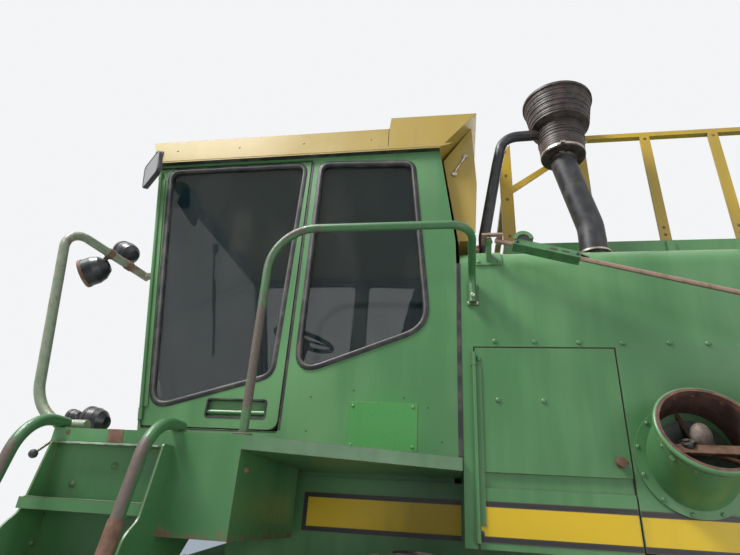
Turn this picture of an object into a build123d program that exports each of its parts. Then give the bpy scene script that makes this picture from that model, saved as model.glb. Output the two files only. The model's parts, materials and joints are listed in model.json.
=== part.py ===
# Self-propelled combine harvester with an enclosed cab, a grain tank with a raised frame,
# a folded unloading auger and a feeder house with no header on it.
#
# Machine directions: +X is forward, +Y is the machine's left, +Z is up.
# Every size is in millimetres. X = 0 is the front axle, Z = 0 is the ground.
# The finished model is moved so that its origin is the bottom centre of the whole machine.
from build123d import *
from math import atan2, cos, hypot, radians, sin
import os

# Door hinges: a pin with fixed knuckles at its ends and the door's barrel between them
HINGE_PIN_RADIUS = 5
HINGE_BARREL_RADIUS = 9
HINGE_KNUCKLE = 60
HINGE_STANDOFF = 10
HINGE_CLEARANCE = 0.3

# Wheels
FRONT_TYRE_DIAMETER = 1605
FRONT_TYRE_WIDTH = 590
FRONT_RIM_DIAMETER = 670
FRONT_WHEEL_Y = 1300
REAR_TYRE_DIAMETER = 970
REAR_TYRE_WIDTH = 290
REAR_RIM_DIAMETER = 410
REAR_WHEEL_Y = 1060
WHEELBASE = 3430
LUG_COUNT = 18
LUG_HEIGHT = 38
LUG_WIDTH = 46
LUG_SLANT = 40
LUG_INSET = 6
LUG_ROOT = 8
RIB_GROOVE = 24
REAR_TYRE_SIDES = 24
TYRE_WALL = 60
TYRE_BEAD = 30
STEER_ANGLE = 32
KINGPIN_Y = 830
KINGPIN_RADIUS = 22
STEER_ARM_LENGTH = 210
STEER_ARM_HALF_WIDTH = 20
STEER_ARM_DROP = 50

# Separator housing and straw hood
BODY_HALF_WIDTH = 700
BODY_FRONT_X = 950
BODY_REAR_X = -3000
BODY_TOP_Z = 1885
HOOD_REAR_X = -4850
HOOD_TOP_Z = 2330
HOOD_FLOOR_Z = 1120
HOOD_WALL = 12
HOOD_BAND = 8
HOOD_BANDS = (-3150, -3480, -3990, -4260)

# Shields along both sides
SHIELD_Y = 1060
SHIELD_WALL = 30
SHIELD_FRONT_X = -190
BAY_REAR_X = -1480
SHIELD_TOP_Z = 2970
SHIELD_TOP_RADIUS = 110
SHIELD_SEAM_Z = 2450
SERVICE_DOOR_BOTTOM_Z = 1625
SERVICE_DOOR_REAR_X = -850
SERVICE_DOOR_HINGE_X = -245
SERVICE_DOOR_OPENING = 100
REAR_SHIELD_TOP_Z = 1880
REAR_SHIELD_BOTTOM_Z = 1300
DOOR_GAP = 6

# Grain tank
TANK_WALL = 12
TANK_RIBS = (-2860, -2480, -1940, -1620)
TANK_RIB = 12
TANK_NECK_HALF_WIDTH = 760
TANK_NECK_Z = 3150
TANK_FRONT_X = -440
FRAME_TOP_Z = 3890
FRAME_BRACE_DROP = 400
FRAME_SLAT_PITCH = 370
FRAME_SLAT_WIDTH = 55
FRAME_SLAT_THICKNESS = 12

# Cab
CAB_LEFT_Y = 1060
CAB_RIGHT_Y = -640
CAB_WALL = 40
DECK_Z = 1960
CAB_SILL_Z = 2041
CAB_TOP_Z = 3590
CAB_FRONT_FOOT_X = 1322
CAB_FRONT_TOP_X = 1615
CAB_REAR_FOOT_X = -186
CAB_REAR_BEND_Z = 3013
CAB_REAR_BEND_X = -170
CAB_REAR_TOP_X = -92
ROOF_OVERHANG = 30
ROOF_STEP_X = 195
ROOF_STEP = 79
CAB_DOOR_REAR_X = 640
CAB_DOOR_OPENING = 58
DOOR_TOP_GAP = 14
GLASS_THICKNESS = 6

# Platform, ladder and rails
DECK_LEFT_Y = 1510
DECK_THICKNESS = 52
DECK_FRONT_X = 1690
DECK_OUTER_FRONT_X = 1394
DECK_BOX_REAR_X = 610
DECK_BOX_BOTTOM_Z = 1607
LADDER_REAR_X = 880
LADDER_FRONT_X = 1380
LADDER_FOOT_Z = 470
LADDER_FOOT_Y = 1960
LADDER_STEPS = 5
LADDER_RISE = 254
TREAD_DEPTH = 190
TREAD_THICKNESS = 12
PLATE_HALF = 4
RAIL_RADIUS = 18
LADDER_RAIL_RADIUS = 22

# Feeder house and its lift cylinders
FEEDER_PIVOT_X = 760
FEEDER_PIVOT_Z = 1330
FEEDER_HALF_WIDTH = 640
FEEDER_FRONT_X = 2350
FEEDER_MOUTH_RADIUS = 350
FEEDER_WALL = 10
FEEDER_DOWN = 11
FEEDER_UP = 17
LIFT_Y = 520
LIFT_BASE_X = 350
LIFT_BASE_Z = 640
LIFT_EYE_X = 1350
LIFT_EYE_Z = 746
LIFT_BARREL_RADIUS = 52
LIFT_BARREL_END = 800
LIFT_BORE_START = 200
LIFT_ROD_RADIUS = 27
LIFT_ROD_START = 470
LIFT_PIN_RADIUS = 16
LIFT_EYE_BORE = 27
LIFT_EYE_RADIUS = 44
PIN_CLEARANCE = 0.5

# Unloading auger
AUGER_ELBOW_X = -1080
AUGER_ELBOW_Z = 1990
AUGER_RISE = 25
AUGER_RADIUS = 165
AUGER_WALL = 6
AUGER_MOUTH_REACH = 221
AUGER_HINGE_OFFSET = 215
AUGER_LENGTH = 3650
AUGER_MOUTH_GAP = 22
AUGER_SWING = 90
AUGER_RIM_RADIUS = 190
AUGER_RIM_SECTION = 12
AUGER_COLLAR = 22
AUGER_COLLAR_WIDTH = 26
AUGER_PIN_RADIUS = 10
AUGER_EAR_OFFSET = 52


def side_plane(y):
    """Plane at one Y, drawn in X and Z; solids grow from it towards -Y."""
    return Plane(origin=(0, y, 0), x_dir=(1, 0, 0), z_dir=(0, -1, 0))


def front_plane(x):
    """Plane at one X, drawn in Y and Z; solids grow from it towards +X."""
    return Plane(origin=(x, 0, 0), x_dir=(0, 1, 0), z_dir=(1, 0, 0))


def outline(points, radii=0):
    """Closed face through the corner points, each corner rounded by its own radius."""
    face = make_face(Polyline(*points, close=True))
    if not radii:
        return face
    if not isinstance(radii, (list, tuple)):
        return fillet(face.vertices(), radii)
    for (x, y), radius in zip(points, radii):
        if radius:
            corner = face.vertices().sort_by_distance((x, y, 0))[0]
            face = fillet(corner, radius)
    return face


def slab_y(points, y_low, y_high, radii=0):
    """Outline in X and Z, made solid between two values of Y."""
    face = side_plane(y_high) * outline(points, radii)
    return extrude(face, amount=y_high - y_low, dir=(0, -1, 0))


def slab_x(points, x_low, x_high, radii=0):
    """Outline in Y and Z, made solid between two values of X."""
    face = front_plane(x_low) * outline(points, radii)
    return extrude(face, amount=x_high - x_low, dir=(1, 0, 0))


def slab_z(points, z_low, z_high, radii=0):
    """Outline in X and Y, made solid between two values of Z."""
    face = Plane.XY.offset(z_low) * outline(points, radii)
    return extrude(face, amount=z_high - z_low, dir=(0, 0, 1))


def block(x_low, x_high, y_low, y_high, z_low, z_high):
    """Rectangular block between two opposite corners."""
    size = (x_high - x_low, y_high - y_low, z_high - z_low)
    centre = ((x_low + x_high) / 2, (y_low + y_high) / 2, (z_low + z_high) / 2)
    return Pos(*centre) * Box(*size)


def bar(start, end, radius):
    """Round bar between two points."""
    start, end = Vector(*start), Vector(*end)
    along = end - start
    return extrude(Plane(origin=start, z_dir=along) * Circle(radius), amount=along.length)


def bent_bar(points, radius, bend):
    """Round bar along straight runs joined by arcs."""
    path = FilletPolyline(*points, radius=bend)
    return sweep(Plane(origin=path @ 0, z_dir=path % 0) * Circle(radius), path=path)


def drum(centre, radius, length, axis=(0, 1, 0)):
    """Cylinder centred on a point, along an axis."""
    half = Vector(*axis).normalized() * (length / 2)
    start = Vector(*centre) - half
    return extrude(Plane(origin=start, z_dir=Vector(*axis)) * Circle(radius), amount=length)


def mirrored(shape):
    """The same piece on the machine's other side."""
    return mirror(shape, about=Plane.XZ)


def piano_hinge(low, high):
    """Fixed and moving halves of a hinge between two points just outside a wall's left face."""
    low, high = Vector(*low), Vector(*high)
    axis = high - low
    place = Plane(origin=low, x_dir=Vector(0, 1, 0).cross(axis), z_dir=axis)
    length, knuckle = axis.length, HINGE_KNUCKLE

    def roll(start, end, radius):
        return Pos(0, 0, (start + end) / 2) * Cylinder(radius, end - start)

    def leaf(x_low, x_high, start, end):
        return Pos((x_low + x_high) / 2, 3 - HINGE_STANDOFF, (start + end) / 2) * Box(x_high - x_low, 6, end - start)

    fixed = roll(0, length, HINGE_PIN_RADIUS)
    for start, end in ((0, knuckle), (length - knuckle, length)):
        fixed += roll(start, end, HINGE_BARREL_RADIUS) + leaf(0, 16, start, end)
    start, end = knuckle + 2, length - knuckle - 2
    moving = roll(start, end, HINGE_BARREL_RADIUS) + leaf(-30, 0, start, end)
    moving -= roll(0, length, HINGE_PIN_RADIUS + HINGE_CLEARANCE)
    return place * fixed, place * moving


# Front and rear wheels
def facet_ring(profile, sides):
    """Closed ring about the Y axis in flat facets; profile lists Y and the radius at a facet's middle."""
    turn = radians(360 / sides)

    def corner(y, radius, step):
        angle = (step + 0.5) * turn
        reach = radius / cos(turn / 2)
        return Vector(reach * sin(angle), y, -reach * cos(angle))

    faces = []
    for (y0, r0), (y1, r1) in zip(profile, profile[1:] + profile[:1]):
        for step in range(sides):
            faces.append(Face(Wire.make_polygon(
                [corner(y0, r0, step), corner(y1, r1, step), corner(y1, r1, step + 1), corner(y0, r0, step + 1)])))
    return Solid(Shell(faces))


def tyre(diameter, width, bore, sides, grooves=()):
    """Hollow tyre about the Y axis in few flat facets, with grooves round its tread."""
    outer, inner, half = diameter / 2, bore / 2, width / 2
    bead, crown, side = half * 0.74, half * 0.8, inner + (outer - inner) * 0.56
    tread = [(-crown, outer)]
    for y in grooves:
        tread += [(y - RIB_GROOVE / 2, outer), (y, outer - RIB_GROOVE), (y + RIB_GROOVE / 2, outer)]
    tread.append((crown, outer))
    inside = outer - TYRE_WALL
    profile = [(-bead, inner), (-half, side)] + tread + [
        (half, side), (bead, inner), (bead - TYRE_BEAD, inner),
        (crown - TYRE_BEAD, inside), (TYRE_BEAD - crown, inside), (TYRE_BEAD - bead, inner)]
    return facet_ring(profile, sides)


def drive_tyre():
    """Drive tyre with two rows of slanted lugs that meet in a chevron."""
    sides = 2 * LUG_COUNT
    root = FRONT_TYRE_DIAMETER / 2 - LUG_HEIGHT
    half = FRONT_TYRE_WIDTH / 2
    carcass = tyre(2 * root, FRONT_TYRE_WIDTH, FRONT_RIM_DIAMETER, sides)
    crown, edge = half * 0.8, half - LUG_INSET
    low = root - half * 0.3
    lugs = []
    for side in (1, -1):
        start = side * LUG_INSET
        tread = [(start, root + LUG_HEIGHT), (side * crown, root + LUG_HEIGHT), (side * edge, root),
                 (side * edge, low), (side * crown, root - LUG_ROOT), (start, root - LUG_ROOT)]
        bar = Box(LUG_WIDTH, 2 * half, 4 * LUG_HEIGHT + half)
        bar = Pos(0, start, -root) * Rot(0, 0, side * LUG_SLANT) * bar
        lug = facet_ring(tread if side == 1 else tread[::-1], sides) & bar
        for step in range(LUG_COUNT):
            lugs.append(lug.rotate(Axis.Y, (2 * step + (0 if side == 1 else 1)) * 360 / sides))
    return carcass + lugs


def rim(diameter, width, hub_radius, dish_y, hub_half, bore):
    """Rim barrel with a dished disc and a hub, about the Y axis; dish_y is the disc's place."""
    radius, half = diameter / 2, width * 0.37
    barrel = outline([(-half, radius), (-half, radius - 34), (-half + 60, radius - 34), (-half + 90, radius - 60),
                      (half - 90, radius - 60), (half - 60, radius - 34), (half, radius - 34), (half, radius),
                      (half - 12, radius), (half - 12, radius - 22), (half - 66, radius - 22),
                      (half - 96, radius - 48), (-half + 96, radius - 48), (-half + 66, radius - 22),
                      (-half + 12, radius - 22), (-half + 12, radius)])
    disc = outline([(dish_y - 5, radius - 50), (dish_y + 7, radius - 50), (dish_y + 7, bore), (dish_y - 5, bore)])
    hub = outline([(dish_y - hub_half, hub_radius), (dish_y + hub_half, hub_radius),
                   (dish_y + hub_half, bore), (dish_y - hub_half, bore)])
    place = Plane(origin=(0, 0, 0), x_dir=(0, 1, 0), z_dir=(1, 0, 0))
    return revolve(place * (barrel + disc + hub), axis=Axis.Y)


FRONT_AXLE_Z = FRONT_TYRE_DIAMETER / 2
REAR_AXLE_Z = REAR_TYRE_DIAMETER / 2
FRONT_HUB_BORE = 60
REAR_HUB_BORE = 32
HUB_CLEARANCE = 0.3
TIE_PIN_RADIUS = 12


def front_wheel(side):
    """Tyre and rim of one drive wheel; side is 1 on the left and -1 on the right."""
    place = Pos(0, side * FRONT_WHEEL_Y, FRONT_AXLE_Z)
    tyre_solid = place * drive_tyre()
    rim_solid = place * rim(FRONT_RIM_DIAMETER, FRONT_TYRE_WIDTH, 130, side * 40, 45, FRONT_HUB_BORE)
    return tyre_solid, rim_solid


def rear_wheel(side):
    """Tyre and rim of one steered wheel."""
    place = Pos(-WHEELBASE, side * REAR_WHEEL_Y, REAR_AXLE_Z)
    tyre_solid = place * tyre(REAR_TYRE_DIAMETER, REAR_TYRE_WIDTH, REAR_RIM_DIAMETER, REAR_TYRE_SIDES, (-40, 40))
    rim_solid = place * rim(REAR_RIM_DIAMETER, REAR_TYRE_WIDTH, 70, 0, 50, REAR_HUB_BORE)
    return tyre_solid, rim_solid


# Axles, knuckles and steering
def front_axle():
    """Cross beam, gearbox in the middle and a final drive with its wheel spindle at each end."""
    beam = block(-90, 90, -820, 820, FRONT_AXLE_Z - 80, FRONT_AXLE_Z + 80)
    gearbox = drum((0, 0, FRONT_AXLE_Z), 190, 420)
    solid = beam + gearbox
    for side in (1, -1):
        drive = slab_y([(-150, FRONT_AXLE_Z - 160), (150, FRONT_AXLE_Z - 160), (150, 960), (60, 1040),
                        (-60, 1040), (-150, 960)], 820, 960, 40)
        spindle = drum((0, 1160, FRONT_AXLE_Z), FRONT_HUB_BORE - HUB_CLEARANCE, 420)
        pair = drive + spindle
        solid += pair if side == 1 else mirrored(pair)
    legs = block(-90, 90, -690, -560, FRONT_AXLE_Z, 985) + block(-90, 90, 560, 690, FRONT_AXLE_Z, 985)
    return solid + legs


def rear_axle():
    """Cross beam between the kingpins, hung under the frame on its pivot bracket."""
    beam = slab_x([(-760, REAR_AXLE_Z - 55), (760, REAR_AXLE_Z - 55), (760, REAR_AXLE_Z + 55),
                   (200, 640), (-200, 640), (-760, REAR_AXLE_Z + 55)], -WHEELBASE - 55, -WHEELBASE + 55, 12)
    solid = beam
    for side in (1, -1):
        fork = block(-WHEELBASE - 45, -WHEELBASE + 45, 740, KINGPIN_Y + 45,
                     REAR_AXLE_Z - 90, REAR_AXLE_Z + 90)
        fork -= block(-WHEELBASE - 60, -WHEELBASE + 60, 770, KINGPIN_Y + 60,
                      REAR_AXLE_Z - 56, REAR_AXLE_Z + 56)
        for edge in (-45, 45):
            fork -= block(-WHEELBASE + edge - 18, -WHEELBASE + edge + 18, 735, KINGPIN_Y + 60,
                          REAR_AXLE_Z - 56, REAR_AXLE_Z + 56)
        fork -= drum((-WHEELBASE, KINGPIN_Y, REAR_AXLE_Z), KINGPIN_RADIUS + 0.3, 400, (0, 0, 1))
        solid += fork if side == 1 else mirrored(fork)
    stand = slab_y([(-WHEELBASE - 150, 1040), (-WHEELBASE + 150, 1040), (-WHEELBASE + 55, 600),
                    (-WHEELBASE - 55, 600)], -70, 70)
    return solid + stand


def knuckle(side):
    """Kingpin, wheel spindle and steering arm of one steered wheel."""
    x, z = -WHEELBASE, REAR_AXLE_Z
    barrel = drum((x, KINGPIN_Y, z), 38, 108, (0, 0, 1))
    pin = drum((x, KINGPIN_Y, z), KINGPIN_RADIUS, 200, (0, 0, 1))
    spindle = drum((x, (KINGPIN_Y + REAR_WHEEL_Y + 60) / 2, z), REAR_HUB_BORE - HUB_CLEARANCE,
                   REAR_WHEEL_Y + 60 - KINGPIN_Y)
    half, tip = STEER_ARM_HALF_WIDTH, x - STEER_ARM_LENGTH
    arm = slab_z([(x + 10, KINGPIN_Y - half), (x + 10, KINGPIN_Y + half), (tip + 30, KINGPIN_Y + half),
                  (tip, KINGPIN_Y + half + 8), (tip - 26, KINGPIN_Y + half), (tip - 26, KINGPIN_Y - half),
                  (tip, KINGPIN_Y - half - 8), (tip + 30, KINGPIN_Y - half)],
                 z - STEER_ARM_DROP, z - STEER_ARM_DROP + 22)
    ball_hole = drum((tip, KINGPIN_Y, z - STEER_ARM_DROP + 11), TIE_PIN_RADIUS + PIN_CLEARANCE, 60, (0, 0, 1))
    solid = barrel + pin + spindle + arm - ball_hole
    return solid if side == 1 else mirrored(solid)


def tie_rod():
    """Rod between the two steering arms, with a pin up through each arm."""
    x, z = -WHEELBASE - STEER_ARM_LENGTH, REAR_AXLE_Z - STEER_ARM_DROP - 20
    solid = drum((x, 0, z), 14, 2 * KINGPIN_Y)
    for side in (1, -1):
        solid += drum((x, side * KINGPIN_Y, z), 24, 30, (0, 0, 1))
        solid += drum((x, side * KINGPIN_Y, z + 24), TIE_PIN_RADIUS, 48, (0, 0, 1))
    return solid


# Frame, separator housing and hood
def frame_rails():
    """Two long rails under the separator with cross members and the rear hitch bracket."""
    solid = None
    for side in (1, -1):
        rail = block(-WHEELBASE - 420, 560, 560, 690, 985, 1105)
        rail = rail if side == 1 else mirrored(rail)
        solid = rail if solid is None else solid + rail
    for x in (-WHEELBASE + 90, -WHEELBASE - 400):
        solid += block(x - 60, x + 60, -560, 560, 1040, 1105)
    return solid


# Belt pulleys on the separator's sides: side, X, Z and radius
PULLEYS = [(-1, -60, 1500, 250), (-1, -700, 1330, 130), (-1, -1500, 1400, 190), (-1, -2450, 1290, 150),
           (1, -700, 1330, 150), (1, -1700, 1350, 200), (1, -2600, 1300, 130)]
PULLEY_WIDTH = 56
PULLEY_STAND = 34


def pulley(side, x, z, radius):
    """Grooved belt pulley on its shaft, beside the separator."""
    y = BODY_HALF_WIDTH + PULLEY_STAND + PULLEY_WIDTH / 2
    half = PULLEY_WIDTH / 2
    section = outline([(0, -half - PULLEY_STAND - 2), (28, -half - PULLEY_STAND - 2), (28, -half), (radius, -half),
                       (radius - 22, -6), (radius - 22, 6), (radius, half), (radius - 12, half),
                       (radius - 24, half - 18), (44, half - 18), (40, half), (0, half)])
    wheel = Plane(origin=(x, y, z), z_dir=(0, 1, 0)) * revolve(Plane.XZ * section, axis=Axis.Z)
    return wheel if side == 1 else mirrored(wheel)


def threshing_body():
    """Separator housing over the axle, with the cleaning shoe and its fan below."""
    housing = slab_y([(BODY_FRONT_X, BODY_TOP_Z), (BODY_FRONT_X, 1060), (700, 1105), (-3000, 1105),
                      (BODY_REAR_X, BODY_TOP_Z)], -BODY_HALF_WIDTH, BODY_HALF_WIDTH)
    shoe = slab_y([(-925, 1106), (-925, 640), (-1350, 560), (-1600, 600), (-2450, 640), (-2700, 700),
                   (-2950, 1000), (-2950, 1106)], -545, 545)
    throat = FEEDER_HALF_WIDTH + 10
    housing -= drum((FEEDER_PIVOT_X, 0, FEEDER_PIVOT_Z), FEEDER_MOUTH_RADIUS, 2 * throat)
    solid = housing + shoe
    for x in (-1500, -2700):
        bracket = block(x - 30, x + 30, BODY_HALF_WIDTH, SHIELD_Y - SHIELD_WALL - 40, 1700, 1760)
        solid += bracket + mirrored(bracket)
    for side, x, z, radius in PULLEYS:
        solid += pulley(side, x, z, radius)
    return solid


def cleaning_fan():
    """Fan housing across the machine, with a round inlet in each end."""
    x, z, radius = -640, 700, 270
    shell = drum((x, 0, z), radius, 1060) + block(-925, x, -530, 530, 720, z + radius)
    shell -= drum((x, 0, z), radius - 12, 1036)
    shell -= drum((x, 0, z), 170, 1200)
    return shell


def straw_hood():
    """Rear hood over the straw walkers, open at its lower rear end."""
    outer = [(BODY_REAR_X, HOOD_TOP_Z), (-4350, HOOD_TOP_Z), (HOOD_REAR_X, 1850), (HOOD_REAR_X, 1330),
             (-4600, HOOD_FLOOR_Z), (BODY_REAR_X, HOOD_FLOOR_Z)]
    hood = slab_y(outer, -BODY_HALF_WIDTH, BODY_HALF_WIDTH)
    w = HOOD_WALL
    inner = [(BODY_REAR_X - w, HOOD_TOP_Z - w), (-4350 - w / 2, HOOD_TOP_Z - w), (HOOD_REAR_X + w, 1850 - w / 2),
             (HOOD_REAR_X + w, 1330), (HOOD_REAR_X + w, HOOD_FLOOR_Z - 50), (-3900, HOOD_FLOOR_Z - 50),
             (-3900, HOOD_FLOOR_Z + w), (BODY_REAR_X - w, HOOD_FLOOR_Z + w)]
    hood -= slab_y(inner, w - BODY_HALF_WIDTH, BODY_HALF_WIDTH - w)
    for x in HOOD_BANDS:
        band = block(x - 22, x + 22, BODY_HALF_WIDTH - 2, BODY_HALF_WIDTH + HOOD_BAND, HOOD_FLOOR_Z + 60, HOOD_TOP_Z - 60)
        hood += band + mirrored(band)
    return hood


# Engine bay and shields
def side_shell(side):
    """Fixed upper shield of the engine bay, curved over at its top edge."""
    y0 = SHIELD_Y
    section = [(y0, SHIELD_SEAM_Z), (y0, SHIELD_TOP_Z), (TANK_NECK_HALF_WIDTH, SHIELD_TOP_Z),
               (TANK_NECK_HALF_WIDTH, SHIELD_TOP_Z - SHIELD_WALL), (y0 - SHIELD_WALL, SHIELD_TOP_Z - SHIELD_WALL),
               (y0 - SHIELD_WALL, SHIELD_SEAM_Z)]
    radii = [0, SHIELD_TOP_RADIUS, 0, 0, SHIELD_TOP_RADIUS - SHIELD_WALL, 0]
    shell = slab_x(section, BAY_REAR_X, SHIELD_FRONT_X, radii)
    return shell if side == 1 else mirrored(shell)


def left_elbow_panel():
    """Fixed panel behind the service door, which carries the auger elbow."""
    y0 = SHIELD_Y - SHIELD_WALL
    panel = block(BAY_REAR_X, SERVICE_DOOR_REAR_X - DOOR_GAP, y0, SHIELD_Y, 1650, SHIELD_SEAM_Z)
    post = block(SERVICE_DOOR_HINGE_X + 2, SHIELD_FRONT_X, y0, SHIELD_Y, SERVICE_DOOR_BOTTOM_Z, SHIELD_SEAM_Z)
    return [panel, post + service_hinge()[0]]


def service_hinge():
    """Hinge down the front edge of the service door."""
    y = SHIELD_Y + HINGE_STANDOFF
    return piano_hinge((SERVICE_DOOR_HINGE_X, y, SERVICE_DOOR_BOTTOM_Z + 20),
                       (SERVICE_DOOR_HINGE_X, y, SHIELD_SEAM_Z - 30))


def service_door():
    """Hinged shield under the upper panel, with its pressed band."""
    x0, x1 = SERVICE_DOOR_REAR_X, SERVICE_DOOR_HINGE_X - 4
    door = block(x0, x1, SHIELD_Y - SHIELD_WALL, SHIELD_Y, SERVICE_DOOR_BOTTOM_Z, SHIELD_SEAM_Z - DOOR_GAP)
    band = block(x0 - 1, x1 + 1, SHIELD_Y - 12, SHIELD_Y + 1, 1850, 1910)
    knob = drum((-830 + 20, SHIELD_Y + 12, 1969), 16, 24)
    return door - band + knob + service_hinge()[1]


def rear_shield(side):
    """Long low shield beside the separator, behind the drive wheel."""
    shield = slab_y([(SERVICE_DOOR_REAR_X - 60, REAR_SHIELD_TOP_Z), (-3050, REAR_SHIELD_TOP_Z),
                     (-3050, REAR_SHIELD_BOTTOM_Z), (-1050, REAR_SHIELD_BOTTOM_Z), (-910, 1500)],
                    SHIELD_Y - SHIELD_WALL - 40, SHIELD_Y - 40)
    return shield if side == 1 else mirrored(shield)


def right_lower_panel():
    """Fixed lower panel of the engine bay on the right side."""
    return block(BAY_REAR_X, SHIELD_FRONT_X, -SHIELD_Y, SHIELD_WALL - SHIELD_Y,
                 SERVICE_DOOR_BOTTOM_Z, SHIELD_SEAM_Z)


def engine_block():
    """Engine and clutch across the bay, as one plain block."""
    return block(-1080, -430, -560, 540, 2010, 2860)


def bay_floor():
    """Floor and mounts that carry the engine on the separator."""
    wall = SHIELD_Y - SHIELD_WALL
    floor = slab_z([(BAY_REAR_X, -wall), (SHIELD_FRONT_X, -wall), (SHIELD_FRONT_X, wall - 10),
                    (SERVICE_DOOR_REAR_X - DOOR_GAP, wall - 10), (SERVICE_DOOR_REAR_X - DOOR_GAP, wall),
                    (BAY_REAR_X, wall)], BODY_TOP_Z, BODY_TOP_Z + 20)
    feet = block(-1060, -450, -500, -440, BODY_TOP_Z, 2010) + block(-1060, -450, 420, 480, BODY_TOP_Z, 2010)
    return floor + feet


SCREEN_X = -860
SCREEN_Z = 2300
SCREEN_RADIUS = 400
SCREEN_SPOKE = 6


def radiator_box():
    """Square air housing on the right side, with a round hole for the screen."""
    half = SCREEN_RADIUS + 70
    box = block(SCREEN_X - half, SCREEN_X + half, -SHIELD_Y - 90, -SHIELD_Y - 0, SCREEN_Z - half, SCREEN_Z + half)
    box -= drum((SCREEN_X, -SHIELD_Y - 45, SCREEN_Z), SCREEN_RADIUS + 15, 200)
    bridge = block(SCREEN_X - half, SCREEN_X + half, -SHIELD_Y - 20, -SHIELD_Y, SCREEN_Z - 40, SCREEN_Z + 40)
    axle = drum((SCREEN_X, -SHIELD_Y - 70, SCREEN_Z), 20, 100)
    return box + bridge + axle


def radiator_screen():
    """Rotary screen: a shallow perforated drum on its own axle."""
    y0 = -SHIELD_Y - 40
    disc = drum((SCREEN_X, y0 - 45, SCREEN_Z), SCREEN_RADIUS, 90)
    disc -= drum((SCREEN_X, y0 - 35, SCREEN_Z), SCREEN_RADIUS - 8, 90)
    hub = drum((SCREEN_X, y0 - 45, SCREEN_Z), 60, 90)
    face = (SCREEN_X, y0 - 90 - SCREEN_SPOKE / 2, SCREEN_Z)
    for step in range(4):
        spoke = Box(2 * SCREEN_RADIUS - 20, SCREEN_SPOKE + 2, 26)
        disc += Pos(*face) * Rot(0, 45 * step, 0) * spoke
    disc += drum(face, SCREEN_RADIUS * 0.62, SCREEN_SPOKE + 2) - drum(face, SCREEN_RADIUS * 0.62 - 22, 40)
    return disc + hub - drum((SCREEN_X, y0 - 45, SCREEN_Z), 20 + HUB_CLEARANCE, 240)


# Grain tank and its frame
def grain_tank():
    """Open-topped tank: wide below the shield line, narrower neck above it."""
    neck, wide = TANK_NECK_HALF_WIDTH, SHIELD_Y
    front = BAY_REAR_X - 2
    lower = block(BODY_REAR_X, front, -wide, wide, BODY_TOP_Z, SHIELD_TOP_Z)
    upper = block(BODY_REAR_X, TANK_FRONT_X, -neck, neck, SHIELD_TOP_Z, TANK_NECK_Z)
    w = TANK_WALL
    inside_low = slab_x([(-wide + w, 2500), (-wide + w, SHIELD_TOP_Z - w), (wide - w, SHIELD_TOP_Z - w),
                         (wide - w, 2500), (250, BODY_TOP_Z + w), (-250, BODY_TOP_Z + w)],
                        BODY_REAR_X + w, front - w)
    inside_high = block(BODY_REAR_X + w, TANK_FRONT_X - w, -neck + w, neck - w, SHIELD_TOP_Z + w, TANK_NECK_Z + 50)
    throat = block(BODY_REAR_X + w, front - w, -neck + w, neck - w, SHIELD_TOP_Z - 200, SHIELD_TOP_Z + 50)
    tank = lower + upper - inside_low - inside_high - throat
    for x in TANK_RIBS:
        rib = block(x - 24, x + 24, wide - 2, wide + TANK_RIB, BODY_TOP_Z + 40, SHIELD_TOP_Z - 40)
        tank += rib + mirrored(rib)
    for x in (-2500, -1900, -1300, -700):
        rib = block(x - 20, x + 20, neck - 2, neck + TANK_RIB, SHIELD_TOP_Z + 30, TANK_NECK_Z - 10)
        tank += rib + mirrored(rib)
    return tank


def tank_frame():
    """Open frame of slats and rails on the tank's neck."""
    y = TANK_NECK_HALF_WIDTH
    t, wdt = FRAME_SLAT_THICKNESS, FRAME_SLAT_WIDTH
    rail_front = TANK_FRONT_X - 450
    low = FRAME_TOP_Z - FRAME_BRACE_DROP
    solid = None
    for side in (1, -1):
        rail = block(BODY_REAR_X, rail_front, y - 35, y, FRAME_TOP_Z - 30, FRAME_TOP_Z)
        post = block(TANK_FRONT_X - 70, TANK_FRONT_X, y - 40, y, TANK_NECK_Z, FRAME_TOP_Z - 10)
        brace = slab_y([(TANK_FRONT_X - 60, low), (TANK_FRONT_X - 60, low + 50), (rail_front - 90, FRAME_TOP_Z - 20),
                        (rail_front - 60, FRAME_TOP_Z - 70)], y - t, y)
        half = rail + post + brace
        x = rail_front - wdt / 2
        while x > BODY_REAR_X:
            half += block(x - wdt / 2, x + wdt / 2, y - t, y, TANK_NECK_Z, FRAME_TOP_Z - 20)
            x -= FRAME_SLAT_PITCH
        half = half if side == 1 else mirrored(half)
        solid = half if solid is None else solid + half
    solid += block(BODY_REAR_X, BODY_REAR_X + 35, -y, y, FRAME_TOP_Z - 30, FRAME_TOP_Z)
    for slat_y in (-500, -170, 170, 500):
        solid += block(BODY_REAR_X, BODY_REAR_X + t, slat_y - 28, slat_y + 28, TANK_NECK_Z, FRAME_TOP_Z - 20)
    solid += block(TANK_FRONT_X - 45, TANK_FRONT_X - 10, -y, y, low, low + 40)
    return solid


# Cab
CAB_SIDE = [(CAB_FRONT_FOOT_X, DECK_Z), (CAB_FRONT_TOP_X, CAB_TOP_Z), (CAB_REAR_TOP_X, CAB_TOP_Z),
            (CAB_REAR_BEND_X, CAB_REAR_BEND_Z), (CAB_REAR_FOOT_X, DECK_Z)]


def front_x(z):
    """X of the cab's leaning front edge at one height."""
    share = (z - DECK_Z) / (CAB_TOP_Z - DECK_Z)
    return CAB_FRONT_FOOT_X + share * (CAB_FRONT_TOP_X - CAB_FRONT_FOOT_X)


DOOR_TOP_Z = 3573
HINGE_INSET = 14


def door_outline(grow):
    """Cab door's corners in X and Z, with a clearance all round; grow is negative for the door."""
    low, high = CAB_SILL_Z - grow, DOOR_TOP_Z + (DOOR_TOP_GAP / DOOR_GAP) * grow
    return [(front_x(low) - HINGE_INSET + grow, low), (front_x(high) - HINGE_INSET + grow, high),
            (CAB_DOOR_REAR_X - grow, high), (CAB_DOOR_REAR_X - grow, low)]


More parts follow.
